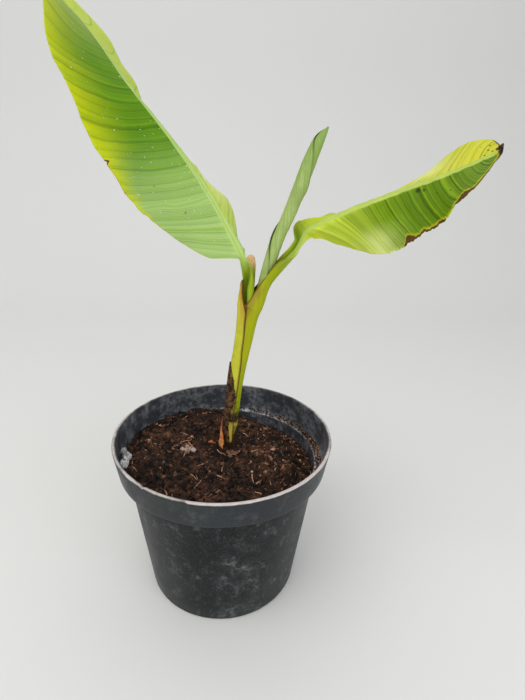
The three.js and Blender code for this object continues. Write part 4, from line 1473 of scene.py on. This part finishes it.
def turned(rng, count):
    """Random rotations from unit quaternions, count of them."""
    w, x, y, z = unit(rng.normal(size=(count, 4))).T
    rows = [
        [1 - 2 * (y * y + z * z), 2 * (x * y - z * w), 2 * (x * z + y * w)],
        [2 * (x * y + z * w), 1 - 2 * (x * x + z * z), 2 * (y * z - x * w)],
        [2 * (x * z - y * w), 2 * (y * z + x * w), 1 - 2 * (x * x + y * y)],
    ]
    return np.moveaxis(np.array(rows), -1, 0)


def scatter_crumbs(rng, centres, sizes):
    """A deformed icosahedron at each centre. Returns points, faces and the owner of each point."""
    corners, faces = icosahedron()
    count = len(centres)
    shapes = corners[None] * (1 + 0.28 * rng.normal(size=(count, 12, 1)))
    shapes = shapes * rng.uniform(0.35, 1.45, size=(count, 1, 3)) * sizes[:, None, None]
    points = np.einsum("nij,nkj->nki", turned(rng, count), shapes) + centres[:, None]
    return points.reshape(-1, 3), repeated(faces, 12, count), np.repeat(np.arange(count), 12)


def soil_places(rng, count):
    """Places spread evenly over the soil's disc, with the soil's height there."""
    angle = rng.uniform(0, TAU, count)
    return on_soil(np.sqrt(rng.uniform(0.0, 1.0, count)) * (soil_spread(angle) - 1.5), angle)


def build_crumbs(material, count, seed=11):
    """Loose crumbs of potting mix, more small ones than large, some on the bare step."""
    rng = np.random.default_rng(seed)
    places = soil_places(rng, count)
    sizes = 0.5 + 2.0 * rng.power(0.42, count) ** 2.4
    near_stem = np.hypot(places[:, 0] - 9, places[:, 1] - 10) < 13
    sizes[near_stem] = np.minimum(sizes[near_stem], 0.9)
    places[:, 2] += sizes * 0.25
    angle = rng.normal(math.radians(12), math.radians(38), STREWN)
    radius = rng.uniform(95.5, 102.2, STREWN)
    small = rng.uniform(0.3, 0.95, STREWN)
    places = np.concatenate([places, polar(radius, angle, LEDGE + small * 0.4)])
    sizes = np.concatenate([sizes, small])
    points, faces, owner = scatter_crumbs(rng, places, sizes)
    # Painted light: crumbs lighter towards the right, where the leaves shade them, and darker towards
    # the front.
    side = 0.17 * smoothstep(places[:, 0], 10, 50) - 0.12 * smoothstep(-places[:, 1], 30, 75)
    tint = (0.04 + side + 0.8 * rng.power(0.75, len(places)))[owner]
    add_piece("soil_crumbs", points, faces, material, (), {"tint": tint}, smooth=False)


def ribbons(rng, starts, length, width, rows=7):
    """Thin three-sided fibres: each runs level from its start, turns and sags along sines."""
    count = len(starts)
    heading = rng.uniform(0, TAU, count)[:, None]
    bendiness = rng.normal(0, 0.45, count)[:, None]
    s = np.linspace(0, 1, rows)[None, :]
    way = heading + bendiness * s
    step = (length / (rows - 1))[:, None]
    x = starts[:, :1] + np.cumsum(np.cos(way) * step, axis=1)
    y = starts[:, 1:2] + np.cumsum(np.sin(way) * step, axis=1)
    pull = np.minimum(1.0, FIBRE_REACH / np.maximum(np.hypot(x, y), 1))
    x, y = x * pull, y * pull
    rise = rng.uniform(0.3, 1.6, count)[:, None]
    z = soil_height(x, y) + 0.25 + rise * np.sin(np.pi * s) * rng.uniform(0.2, 1.0, count)[:, None]
    spine = np.stack([x, y, z], -1)
    tangent = unit(np.gradient(spine, axis=1))
    across = unit(np.cross(tangent, [0.0, 0.0, 1.0]))
    above = np.cross(across, tangent)
    taper = (width[:, None] * (1 - 0.7 * s**2))[..., None, None]
    corner = np.radians([90, 210, 330])
    ring = np.cos(corner)[:, None] * across[:, :, None]
    ring = ring + 0.6 * np.sin(corner)[:, None] * above[:, :, None]
    points = spine[:, :, None] + ring * taper
    each = 3 * rows
    caps = np.array([[2, 1, 0], [each - 3, each - 2, each - 1]])
    faces = [repeated(part, each, count) for part in (grid_faces(rows, 3, closed=True), caps)]
    return points.reshape(-1, 3), faces, np.repeat(np.arange(count), each)


def build_fibres(material, count, seed=23):
    """Coir and bark fibres that lie across the soil."""
    rng = np.random.default_rng(seed)
    starts = soil_places(rng, count)
    length = rng.uniform(2, 7, count) * rng.uniform(0.6, 1.5, count)
    width = rng.uniform(0.14, 0.4, count)
    long = np.arange(count) < 0.05 * count
    length = np.where(long, rng.uniform(8, 17, count), length)
    width = np.where(long, rng.uniform(0.4, 0.75, count), width)
    points, faces, owner = ribbons(rng, starts, length, width)
    tint = (np.where(long, 1.15, 0.1) + 0.85 * rng.power(0.7, count) * ~long)[owner]
    add_piece("soil_fibres", points, faces, material, (), {"tint": tint}, smooth=False)


def build_chips(material, seed=37):
    """Flat chips of bark, tilted and half sunk."""
    rng = np.random.default_rng(seed)
    count = 190
    places = soil_places(rng, count)
    points, faces, owner = scatter_crumbs(rng, np.zeros((count, 3)), np.ones(count))
    size = rng.uniform(1.4, 4.2, count)[owner]
    flat = points * np.stack([size, size * 0.45, size * 0.16], -1)
    tilt = turned_about(rng, count)[owner]
    points = np.einsum("nij,nj->ni", tilt, flat) + places[owner] + [0, 0, 0.7]
    tint = rng.uniform(0.0, 0.8, count)[owner]
    add_piece("bark_chips", points, faces, material, (), {"tint": tint}, smooth=False)


def turned_about(rng, count):
    """Rotations by any angle about the vertical after a tilt of up to half a radian."""
    heading, tilt = rng.uniform(0, TAU, count), rng.uniform(-0.5, 0.5, count)
    c, s, ct, st = np.cos(heading), np.sin(heading), np.cos(tilt), np.sin(tilt)
    zero, one = np.zeros(count), np.ones(count)
    spin = np.array([[c, -s, zero], [s, c, zero], [zero, zero, one]])
    lean = np.array([[one, zero, zero], [zero, ct, -st], [zero, st, ct]])
    return np.moveaxis(np.einsum("ijn,jkn->ikn", spin, lean), -1, 0)


def lump(centre, radii, seed, size=0.5, amount=0.42):
    """A ball drawn out to three radii, its surface pushed in and out by noise."""
    rows, around = 26, 36
    fall = np.linspace(0.08, math.pi - 0.08, rows)[:, None]
    turn = np.linspace(0, TAU, around, endpoint=False)[None, :]
    ball = polar(np.sin(fall), turn, np.cos(fall))
    rings = ball * (1 + amount * rough(ball, size, 3, seed))[..., None] * radii + centre
    return tube(rings)


def build_lumps(name, spots, material):
    """Several lumps as one piece: each spot is a centre, three radii and a seed."""
    points, quads, fans, tints, start = [], [], [], [], 0
    for centre, radii, seed, tint in spots:
        found, groups = lump(np.array(centre, float), np.array(radii, float), seed)
        points.append(found)
        quads.append(groups[0] + start)
        fans += [groups[1] + start, groups[2] + start]
        tints.append(np.full(len(found), tint))
        start += len(found)
    faces = [np.concatenate(quads), np.concatenate(fans)]
    layers = {"tint": np.concatenate(tints)}
    add_piece(name, np.concatenate(points), faces, material, (), layers)


def cluster(centre, spread, radii, count, seed):
    """Spots for lumps strewn round a centre: place, three radii, seed and tint of each."""
    rng = np.random.default_rng(seed)
    spots = []
    for k in range(count):
        place = np.array(centre) + np.array(spread) * rng.normal(0, 0.5, 3)
        size = rng.uniform(*radii) * rng.uniform(0.75, 1.2, 3)
        spots.append((place, size, seed + k, rng.uniform(0.1, 1.0)))
    return spots


PERLITE_SPOTS = [
    *cluster((-37.9, 2.6, 149.8), (5.6, 6.4, 1.0), (0.8, 2.3), 19, 70),
    ((28.0, -34.0, 147.4), (1.1, 0.9, 0.8), 4, 0.8),
    ((-58.0, -30.0, 149.0), (1.0, 1.2, 0.7), 5, 0.5),
]
CHALK_SPOTS = [
    *cluster((-97.4, -19.6, 151.8), (1.8, 7.2, 8.0), (1.3, 3.6), 34, 90),
    *cluster((-96.2, -11.0, 148.2), (1.6, 6.0, 1.2), (0.7, 1.6), 9, 120),
]
ORANGE_SPOTS = [
    ((-13.4, 18.0, 148.2), (2.6, 1.8, 1.5), 12, 0.6),
    ((-9.6, 15.0, 148.0), (1.5, 1.9, 1.2), 13, 0.4),
]


def build_droplets(material, grid, count, seed=5):
    """Drops of water on the left leaf: low domes that stand on its upper face."""
    rng = np.random.default_rng(seed)
    upper = grid["upper"]
    rows, columns = upper.shape[:2]
    row = (rng.beta(1.5, 2.2, count) * (rows - 120)).astype(int) + 75
    column = (rng.uniform(0.06, 0.8, count) * columns).astype(int)
    place, normal = upper[row, column], grid["normal"][row, column]
    size = rng.uniform(0.25, 0.7, count) * rng.uniform(0.6, 1.3, count)
    across = square_to(np.broadcast_to([1.0, 0.1, 0.2], normal.shape), normal)
    along = np.cross(normal, across)
    rise = np.radians([88, 66, 42, 18, -8])[:, None, None]
    around = 10
    turn = np.linspace(0, TAU, around, endpoint=False)[:, None]
    ring = np.cos(turn) * across[:, None, None] + np.sin(turn) * along[:, None, None]
    height = np.sin(rise) * 0.55 * normal[:, None, None]
    points = place[:, None, None] + size[:, None, None, None] * (np.cos(rise) * ring + height)
    each = len(rise) * around
    quads = repeated(grid_faces(len(rise), around, closed=True), each, count)
    top = repeated(np.arange(around)[None], each, count)
    floor = top[:, ::-1] + each - around
    add_piece("water_drops", points.reshape(-1, 3), [quads, top, floor], material)


def build_scrap(material, grid):
    """The dead curled end of the right leaf: a small crisp strip that rolls in from the tip."""
    upper = grid["upper"]
    tip = upper[-1].mean(0)
    out = unit(tip - upper[-14].mean(0))
    side = unit(upper[-6, -1] - upper[-6, 0])
    up = np.cross(side, out)
    up = up if up[2] > 0 else -up
    s = np.linspace(0, 1, 46)[:, None]
    x = np.linspace(-1, 1, 22)[None, :]
    half = 5.5 * np.sqrt(1 - 0.82 * s**2)
    roll = 2.3 * s + 0.4 * x
    forward = 5.2 * np.sin(roll) / 1.2 - 2.5
    rise = 3.4 * (1 - np.cos(roll)) / 1.3
    place = tip + forward[..., None] * out + rise[..., None] * up + (x * half)[..., None] * side
    lifted, pushed = 0.9 * noise(place, 5, 61), 0.5 * noise(place, 3, 62)
    place = place + lifted[..., None] * up + pushed[..., None] * out
    add_strip("dead_leaf_tip", place, 0.5 * up, x, half, s[:, 0] * 12, material, "sheath_brown", ())


# Looks

LEFT_LOOK = tones(
    deep=(62, 108, 4), light=(116, 162, 22), pale=(192, 218, 140), far=(202, 220, 70),
    yellow=(196, 206, 8), shadow=(52, 92, 10), rib=(184, 208, 122), rib_line=(150, 184, 84),
    spot=(60, 74, 40), bleached=(230, 240, 150), halo=(196, 186, 40), brown=(112, 84, 36),
    rust=(66, 44, 24), under=(150, 182, 84), pale_share=0.85, panel=0.3, far_share=0.85,
    fine_share=0.34, groove=0.16, groove_share=0.62, calm=0.45, far_calm=2.2, crest=0.6,
    rib_share=0.9, gloss=0.5, mottle=55.0,
    stalk=tones(
        upper=(140, 166, 26), green=(162, 184, 24), olive=(116, 142, 10), yellow=(186, 200, 46),
        low=(0.150, 0.147), patch=(140, 180, 60), soiled=(52, 38, 26), base=(140, 180, 60),
        blotch=(90, 120, 40), seam=(126, 140, 50), tan=(140, 104, 54), tan_share=0.0,
    ),
)
RIGHT_LOOK = LEFT_LOOK | tones(
    deep=(62, 98, 0), light=(146, 178, 26), pale=(228, 246, 84), far=(220, 216, 58),
    yellow=(206, 214, 44), shadow=(48, 76, 0), rib=(196, 214, 104), rib_line=(150, 178, 52),
    spot=(40, 44, 12), fine_share=0.24, pale_share=0.95, panel=0.6, groove_share=0.85, calm=0.8,
    far_calm=0.45, crest=0.75, gloss=0.45,
    stalk=tones(
        upper=(122, 142, 10), green=(152, 166, 16), olive=(118, 132, 14), yellow=(194, 188, 20),
        low=(0.2, 0.184), patch=(182, 162, 66), soiled=(52, 36, 26), base=(96, 88, 30),
        blotch=(34, 28, 14), seam=(110, 72, 30), tan=(140, 104, 54), tan_share=0.6,
    ),
)
ROLLED_LOOK = tones(
    light=(172, 190, 118), deep=(112, 136, 72), top=(126, 158, 76), foot=(106, 128, 80),
    rim=(84, 108, 40), inside=(70, 96, 34),
)

SHEATH_BASE = {"spread": 0.14, "end_width": 90.0, "fleck_cover": 0.35, "roughness": 0.5}
SHEATH_LOOKS = {
    "stem_green": SHEATH_BASE | tones(
        main=(150, 160, 46), second=(120, 132, 36), patch=(50, 50, 22), margin=(120, 130, 40),
        margin_width=0.2, end=(-40.0, -20.0), end_colour=(182, 184, 56), soiled=(48, 32, 24),
        foot_heights=(0.21, 0.17), foot=(110, 84, 40), foot_dark=(40, 28, 16), fineness=0.9,
        mottle=130.0, mottle_share=0.5, fleck=(104, 84, 40), fleck_scale=420.0, fleck_share=0.5,
    ),
    "sheath_yellow": SHEATH_BASE | tones(
        main=(196, 196, 46), second=(166, 172, 34), patch=(212, 208, 78), margin=(92, 52, 26),
        margin_width=3.0, end=(276.0, 306.0), end_width=9.0, end_colour=(198, 130, 44),
        soiled=(48, 32, 24), foot_heights=(0.212, 0.18), foot=(112, 88, 42), foot_dark=(44, 32, 18),
        fineness=1.1, mottle=90.0, mottle_share=0.45, fleck=(96, 74, 34), fleck_scale=500.0,
        fleck_share=0.4,
    ),
    "sheath_brown": SHEATH_BASE | tones(
        main=(46, 30, 22), second=(13, 8, 6), patch=(116, 84, 56), spread=0.09,
        margin=(32, 22, 16), margin_width=0.8, end=(86.0, 100.0), end_colour=(122, 96, 54),
        fineness=1.0, mottle=230.0, mottle_share=0.8, fleck=(8, 5, 4), fleck_scale=330.0,
        fleck_cover=0.62, fleck_share=1.0, roughness=0.85,
    ),
    "sheath_orange": SHEATH_BASE | tones(
        main=(228, 128, 54), second=(146, 74, 36), patch=(236, 176, 118), spread=0.08,
        margin=(104, 56, 30), margin_width=0.4, end=(22.0, 27.0), end_colour=(124, 88, 58),
        fineness=1.3, mottle=240.0, mottle_share=0.65, fleck=(66, 34, 24), fleck_scale=380.0,
        fleck_cover=0.5, fleck_share=0.85, roughness=0.7,
    ),
    "dry_tan": SHEATH_BASE | tones(
        young=(47.0, 36.0), young_colour=(156, 160, 66), main=(222, 182, 126),
        second=(196, 152, 98), patch=(236, 208, 168), margin=(170, 118, 74), margin_width=0.3,
        end=(60.0, 70.0), end_colour=(150, 116, 80), fineness=2.0, mottle=240.0,
        mottle_share=0.6, fleck=(110, 76, 50), fleck_scale=500.0, fleck_share=0.4, roughness=0.8,
    ),
}
SHEATH_LOOKS["flap_tan"] = SHEATH_LOOKS["dry_tan"] | tones(
    young=(-8.0, -9.0), main=(96, 62, 50), second=(46, 28, 22), patch=(140, 100, 82),
    margin=(166, 128, 100), margin_width=0.35, end=(13.0, 17.0), end_colour=(190, 152, 112),
)

SOIL_STOPS = [
    rgb(8, 6, 5), rgb(22, 15, 12), rgb(46, 30, 22), rgb(72, 47, 34), rgb(110, 72, 50),
    rgb(188, 146, 116),
]
PERLITE_STOPS = [rgb(116, 88, 76), rgb(176, 152, 140), rgb(216, 200, 192)]
CHALK_STOPS = [rgb(120, 118, 118), rgb(184, 182, 180), rgb(226, 224, 222)]
ORANGE_STOPS = [rgb(110, 60, 30), rgb(190, 104, 44), rgb(214, 140, 76)]


def water_material():
    """Water drops whose colour holds a painted reflection of the sky: mostly pale, a third clear."""
    water = Finish("water_clear", rgb(220, 235, 225))
    water.colour = water.mix(water.noise(900.0), rgb(206, 226, 176), rgb(236, 244, 222))
    return water.close(0.08, IOR=1.33, Transmission_Weight=0.35)


# Settings and operators


class PotSettings(bpy.types.PropertyGroup):
    """The pot's finish."""

    dust: bpy.props.FloatProperty(
        name="Dust", description="How much dust and chalk lies on the plastic", default=1.0,
        min=0.0, max=2.0, subtype="FACTOR",
    )


class SoilSettings(bpy.types.PropertyGroup):
    """What lies on the soil."""

    crumbs: bpy.props.IntProperty(
        name="Crumbs", description="Loose crumbs of potting mix", default=5600, min=0, max=8000
    )
    fibres: bpy.props.IntProperty(
        name="Fibres", description="Coir and bark fibres", default=900, min=0, max=3000
    )


def colour_setting(name, description, *screen):
    return bpy.props.FloatVectorProperty(
        name=name, description=description, subtype="COLOR", size=3, default=rgb(*screen)[:3],
        min=0.0, max=1.0,
    )


class LeafSettings(bpy.types.PropertyGroup):
    """Leaf shape and finish."""

    left_pleat: bpy.props.FloatProperty(
        name="Left pleats", description="Depth of the left leaf's pleats in metres",
        default=LEFT_LEAF["pleat"] * MM, min=0.0, max=0.002, precision=5, unit="LENGTH",
    )
    right_pleat: bpy.props.FloatProperty(
        name="Right pleats", description="Depth of the right leaf's pleats in metres",
        default=RIGHT_LEAF["pleat"] * MM, min=0.0, max=0.002, precision=5, unit="LENGTH",
    )
    drops: bpy.props.IntProperty(
        name="Water drops", description="Drops on the left leaf", default=130, min=0, max=400
    )
    left_green: colour_setting("Left leaf", "Main green of the left leaf", 78, 126, 4)
    right_green: colour_setting("Right leaf", "Main green of the right leaf", 92, 132, 0)
    rolled: colour_setting("Rolled leaf", "Colour of the rolled leaf", 144, 166, 86)


class StageSettings(bpy.types.PropertyGroup):
    """Floor and light."""

    floor: colour_setting("Floor", "Colour of the floor and backdrop", 226, 226, 224)
    key: bpy.props.FloatProperty(
        name="Key light", description="Power of the key light", default=18.0, min=0.0, unit="POWER"
    )
    sky: bpy.props.FloatProperty(
        name="Sky", description="Strength of the even light from all round", default=0.62, min=0.0
    )


class BuildPot(bpy.types.Operator):
    """Turn the pot and cut its drain holes"""

    bl_idname = "banana_plant.build_pot"
    bl_label = "Pot"

    def execute(self, context):
        build_pot(pot_material(context.scene.banana_pot.dust))
        return {"FINISHED"}


class BuildSoil(bpy.types.Operator):
    """Fill the pot with soil and strew crumbs, fibres and chips on it"""

    bl_idname = "banana_plant.build_soil"
    bl_label = "Soil"

    def execute(self, context):
        settings = context.scene.banana_soil
        soil = soil_material("potting_mix", SOIL_STOPS)
        build_soil(soil)
        build_crumbs(soil, settings.crumbs)
        build_fibres(soil, settings.fibres)
        build_chips(soil)
        return {"FINISHED"}


class BuildGrit(bpy.types.Operator):
    """Lay the perlite, the chalk on the wall and the torn orange bits"""

    bl_idname = "banana_plant.build_grit"
    bl_label = "Grit and deposits"

    def execute(self, context):
        perlite = soil_material("perlite", PERLITE_STOPS, 0.9)
        chalk = soil_material("chalk_deposit", CHALK_STOPS, 0.9)
        orange = soil_material("orange_husk", ORANGE_STOPS, 0.7)
        build_lumps("perlite_grains", PERLITE_SPOTS, perlite)
        build_lumps("chalk_crust", CHALK_SPOTS, chalk)
        build_lumps("orange_husk_bits", ORANGE_SPOTS, orange)
        return {"FINISHED"}


class BuildStem(bpy.types.Operator):
    """Build the stem's core, its old and dead sheaths and the dry remains round it"""

    bl_idname = "banana_plant.build_stem"
    bl_label = "Stem and sheaths"

    def execute(self, context):
        looks = {key: sheath_material(key, look) for key, look in SHEATH_LOOKS.items()}
        build_core(looks["stem_green"])
        build_yellow_sheath(looks["sheath_yellow"])
        build_dead_sheath(looks["sheath_brown"])
        build_orange_sheath(looks["sheath_orange"])
        build_dry_stub(looks["dry_tan"])
        build_dry_flap(looks["flap_tan"])
        return {"FINISHED"}


class BuildRolledLeaf(bpy.types.Operator):
    """Wind the young leaf that is still rolled"""

    bl_idname = "banana_plant.build_rolled_leaf"
    bl_label = "Rolled leaf"

    def execute(self, context):
        colour = (*context.scene.banana_leaves.rolled, 1.0)
        build_rolled_leaf(rolled_material(ROLLED_LOOK | {"mid": colour}))
        return {"FINISHED"}


class BuildLeaves(bpy.types.Operator):
    """Build the two open leaves with their stalks, the drops and the dead tip"""

    bl_idname = "banana_plant.build_leaves"
    bl_label = "Open leaves"

    def execute(self, context):
        settings = context.scene.banana_leaves
        left_look = LEFT_LOOK | {"mid": (*settings.left_green, 1.0)}
        right_look = RIGHT_LOOK | {"mid": (*settings.right_green, 1.0)}
        left = LEFT_LEAF | {"pleat": settings.left_pleat / MM}
        right = RIGHT_LEAF | {"pleat": settings.right_pleat / MM}
        left_grid = build_sheet(
            "left_leaf_blade", left_strand(), left, 64, left_trim, left_masks,
            leaf_material("left_leaf_tissue", left_look), "leaf_green", ("left_leaf", "left_stalk"),
        )
        right_grid = build_sheet(
            "right_leaf_blade", right_strand(), right, 62, right_trim, right_masks,
            leaf_material("right_leaf_tissue", right_look), "leaf_light",
            ("right_leaf", "right_stalk"),
        )
        build_droplets(water_material(), left_grid, settings.drops)
        build_scrap(sheath_material("dead_tip", SHEATH_LOOKS["sheath_brown"]), right_grid)
        return {"FINISHED"}


# Stage and camera

CAMERA_PLACE = (0.0, -424.05, 438.09)
CAMERA_AHEAD = (0.0813, 0.9210, -0.3809)
CAMERA_ROLL = 1.84
FOCAL_PIXELS = 480.0
FRAME_HEIGHT = 700


def build_stage(floor_colour):
    """A floor that runs back and curves up into a backdrop along a quarter circle."""
    paper = Finish("studio_paper", (*floor_colour, 1.0))
    paper.lay(paper.noise(3.0), (*(c * 0.985 for c in floor_colour), 1.0))
    flat = np.linspace(-2.6, 0.9, 20)
    turn = np.radians(np.linspace(4.5, 90, 20))
    y = np.concatenate([flat, 0.9 + 0.8 * np.sin(turn), [1.7, 1.7]])
    z = np.concatenate([np.zeros(20), 0.8 * (1 - np.cos(turn)), [1.8, 3.4]])
    x = np.linspace(-4.0, 4.0, 3)
    points = np.stack(np.broadcast_arrays(x[None, :], y[:, None], z[:, None]), -1)
    mesh = make_mesh("studio_floor", points.reshape(-1, 3), [grid_faces(len(y), 3)])
    mesh.materials.append(paper.close(0.85, Specular_IOR_Level=0.2))
    place_in_scene("studio_floor", mesh)


def add_light(name, place, target, size, power, colour):
    """A round light that faces a target."""
    light = bpy.data.lights.new(name, "AREA")
    light.shape = "DISK"
    light.size = size
    light.energy = power
    light.color = colour
    made = place_in_scene(name, light)
    made.location = place
    ahead = mathutils.Vector(target) - mathutils.Vector(place)
    made.rotation_euler = ahead.to_track_quat("-Z", "Y").to_euler()


def add_camera():
    """The camera that was fitted to the pot's two ellipses."""
    ahead = np.array(CAMERA_AHEAD) / np.linalg.norm(CAMERA_AHEAD)
    right = unit(np.cross(ahead, [0.0, 0.0, 1.0]))
    up = np.cross(right, ahead)
    roll = math.radians(CAMERA_ROLL)
    turned_right = math.cos(roll) * right + math.sin(roll) * up
    turned_up = math.cos(roll) * up - math.sin(roll) * right
    lens = bpy.data.cameras.new("camera")
    lens.sensor_fit = "VERTICAL"
    lens.sensor_height = 36.0
    lens.lens = 36.0 * FOCAL_PIXELS / FRAME_HEIGHT
    lens.clip_start = 0.02
    camera = place_in_scene("camera", lens)
    axes = np.column_stack([turned_right, turned_up, -ahead, np.array(CAMERA_PLACE) * MM])
    camera.matrix_world = mathutils.Matrix([*axes.tolist(), [0, 0, 0, 1]])
    bpy.context.scene.camera = camera


class BuildStage(bpy.types.Operator):
    """Set the floor, the lights and the camera"""

    bl_idname = "banana_plant.build_stage"
    bl_label = "Stage"

    def execute(self, context):
        scene = context.scene
        settings = scene.banana_stage
        scene.view_settings.view_transform = "Standard"
        world = scene.world or bpy.data.worlds.new("studio")
        scene.world = world
        world.use_nodes = True
        sky = world.node_tree.nodes["Background"].inputs
        sky["Color"].default_value = (0.97, 0.98, 1.0, 1.0)
        sky["Strength"].default_value = settings.sky
        build_stage(tuple(settings.floor))
        target = (0.02, 0.0, 0.3)
        add_light("key", (-0.9, -0.9, 1.7), target, 2.0, settings.key, (1.0, 0.98, 0.94))
        add_light("fill", (0.8, -1.3, 0.8), target, 1.4, settings.key * 0.5, (0.95, 0.98, 1.0))
        add_light("back", (-0.3, 1.3, 1.7), target, 2.6, settings.key * 0.4, (1.0, 0.99, 0.95))
        add_camera()
        return {"FINISHED"}


BUILD_STEPS = (BuildStage, BuildPot, BuildSoil, BuildGrit, BuildStem, BuildRolledLeaf, BuildLeaves)


class PlantPanel(bpy.types.Panel):
    """Lists the settings and the building steps"""

    bl_idname = "VIEW3D_PT_banana_plant"
    bl_label = "Potted Banana Plant"
    bl_space_type = "VIEW_3D"
    bl_region_type = "UI"
    bl_category = "Banana Plant"

    def draw(self, context):
        for name, group in SETTING_GROUPS.items():
            box = self.layout.box()
            for key in group.__annotations__:
                box.prop(getattr(context.scene, name), key)
        for step in BUILD_STEPS:
            self.layout.operator(step.bl_idname)


SETTING_GROUPS = {
    "banana_pot": PotSettings,
    "banana_soil": SoilSettings,
    "banana_leaves": LeafSettings,
    "banana_stage": StageSettings,
}


def register():
    for group in SETTING_GROUPS.values():
        bpy.utils.register_class(group)
    for cls in (*BUILD_STEPS, PlantPanel):
        bpy.utils.register_class(cls)
    for name, group in SETTING_GROUPS.items():
        setattr(bpy.types.Scene, name, bpy.props.PointerProperty(type=group))


def unregister():
    for name in SETTING_GROUPS:
        delattr(bpy.types.Scene, name)
    for cls in (PlantPanel, *BUILD_STEPS[::-1], *SETTING_GROUPS.values()):
        bpy.utils.unregister_class(cls)


def plain(box):
    """The box as lists of plain numbers."""
    return [[float(v) for v in corner] for corner in box]


def main():
    register()
    for step in BUILD_STEPS:
        family, action = step.bl_idname.split(".")
        getattr(getattr(bpy.ops, family), action)()


if __name__ == "__main__":
    main()
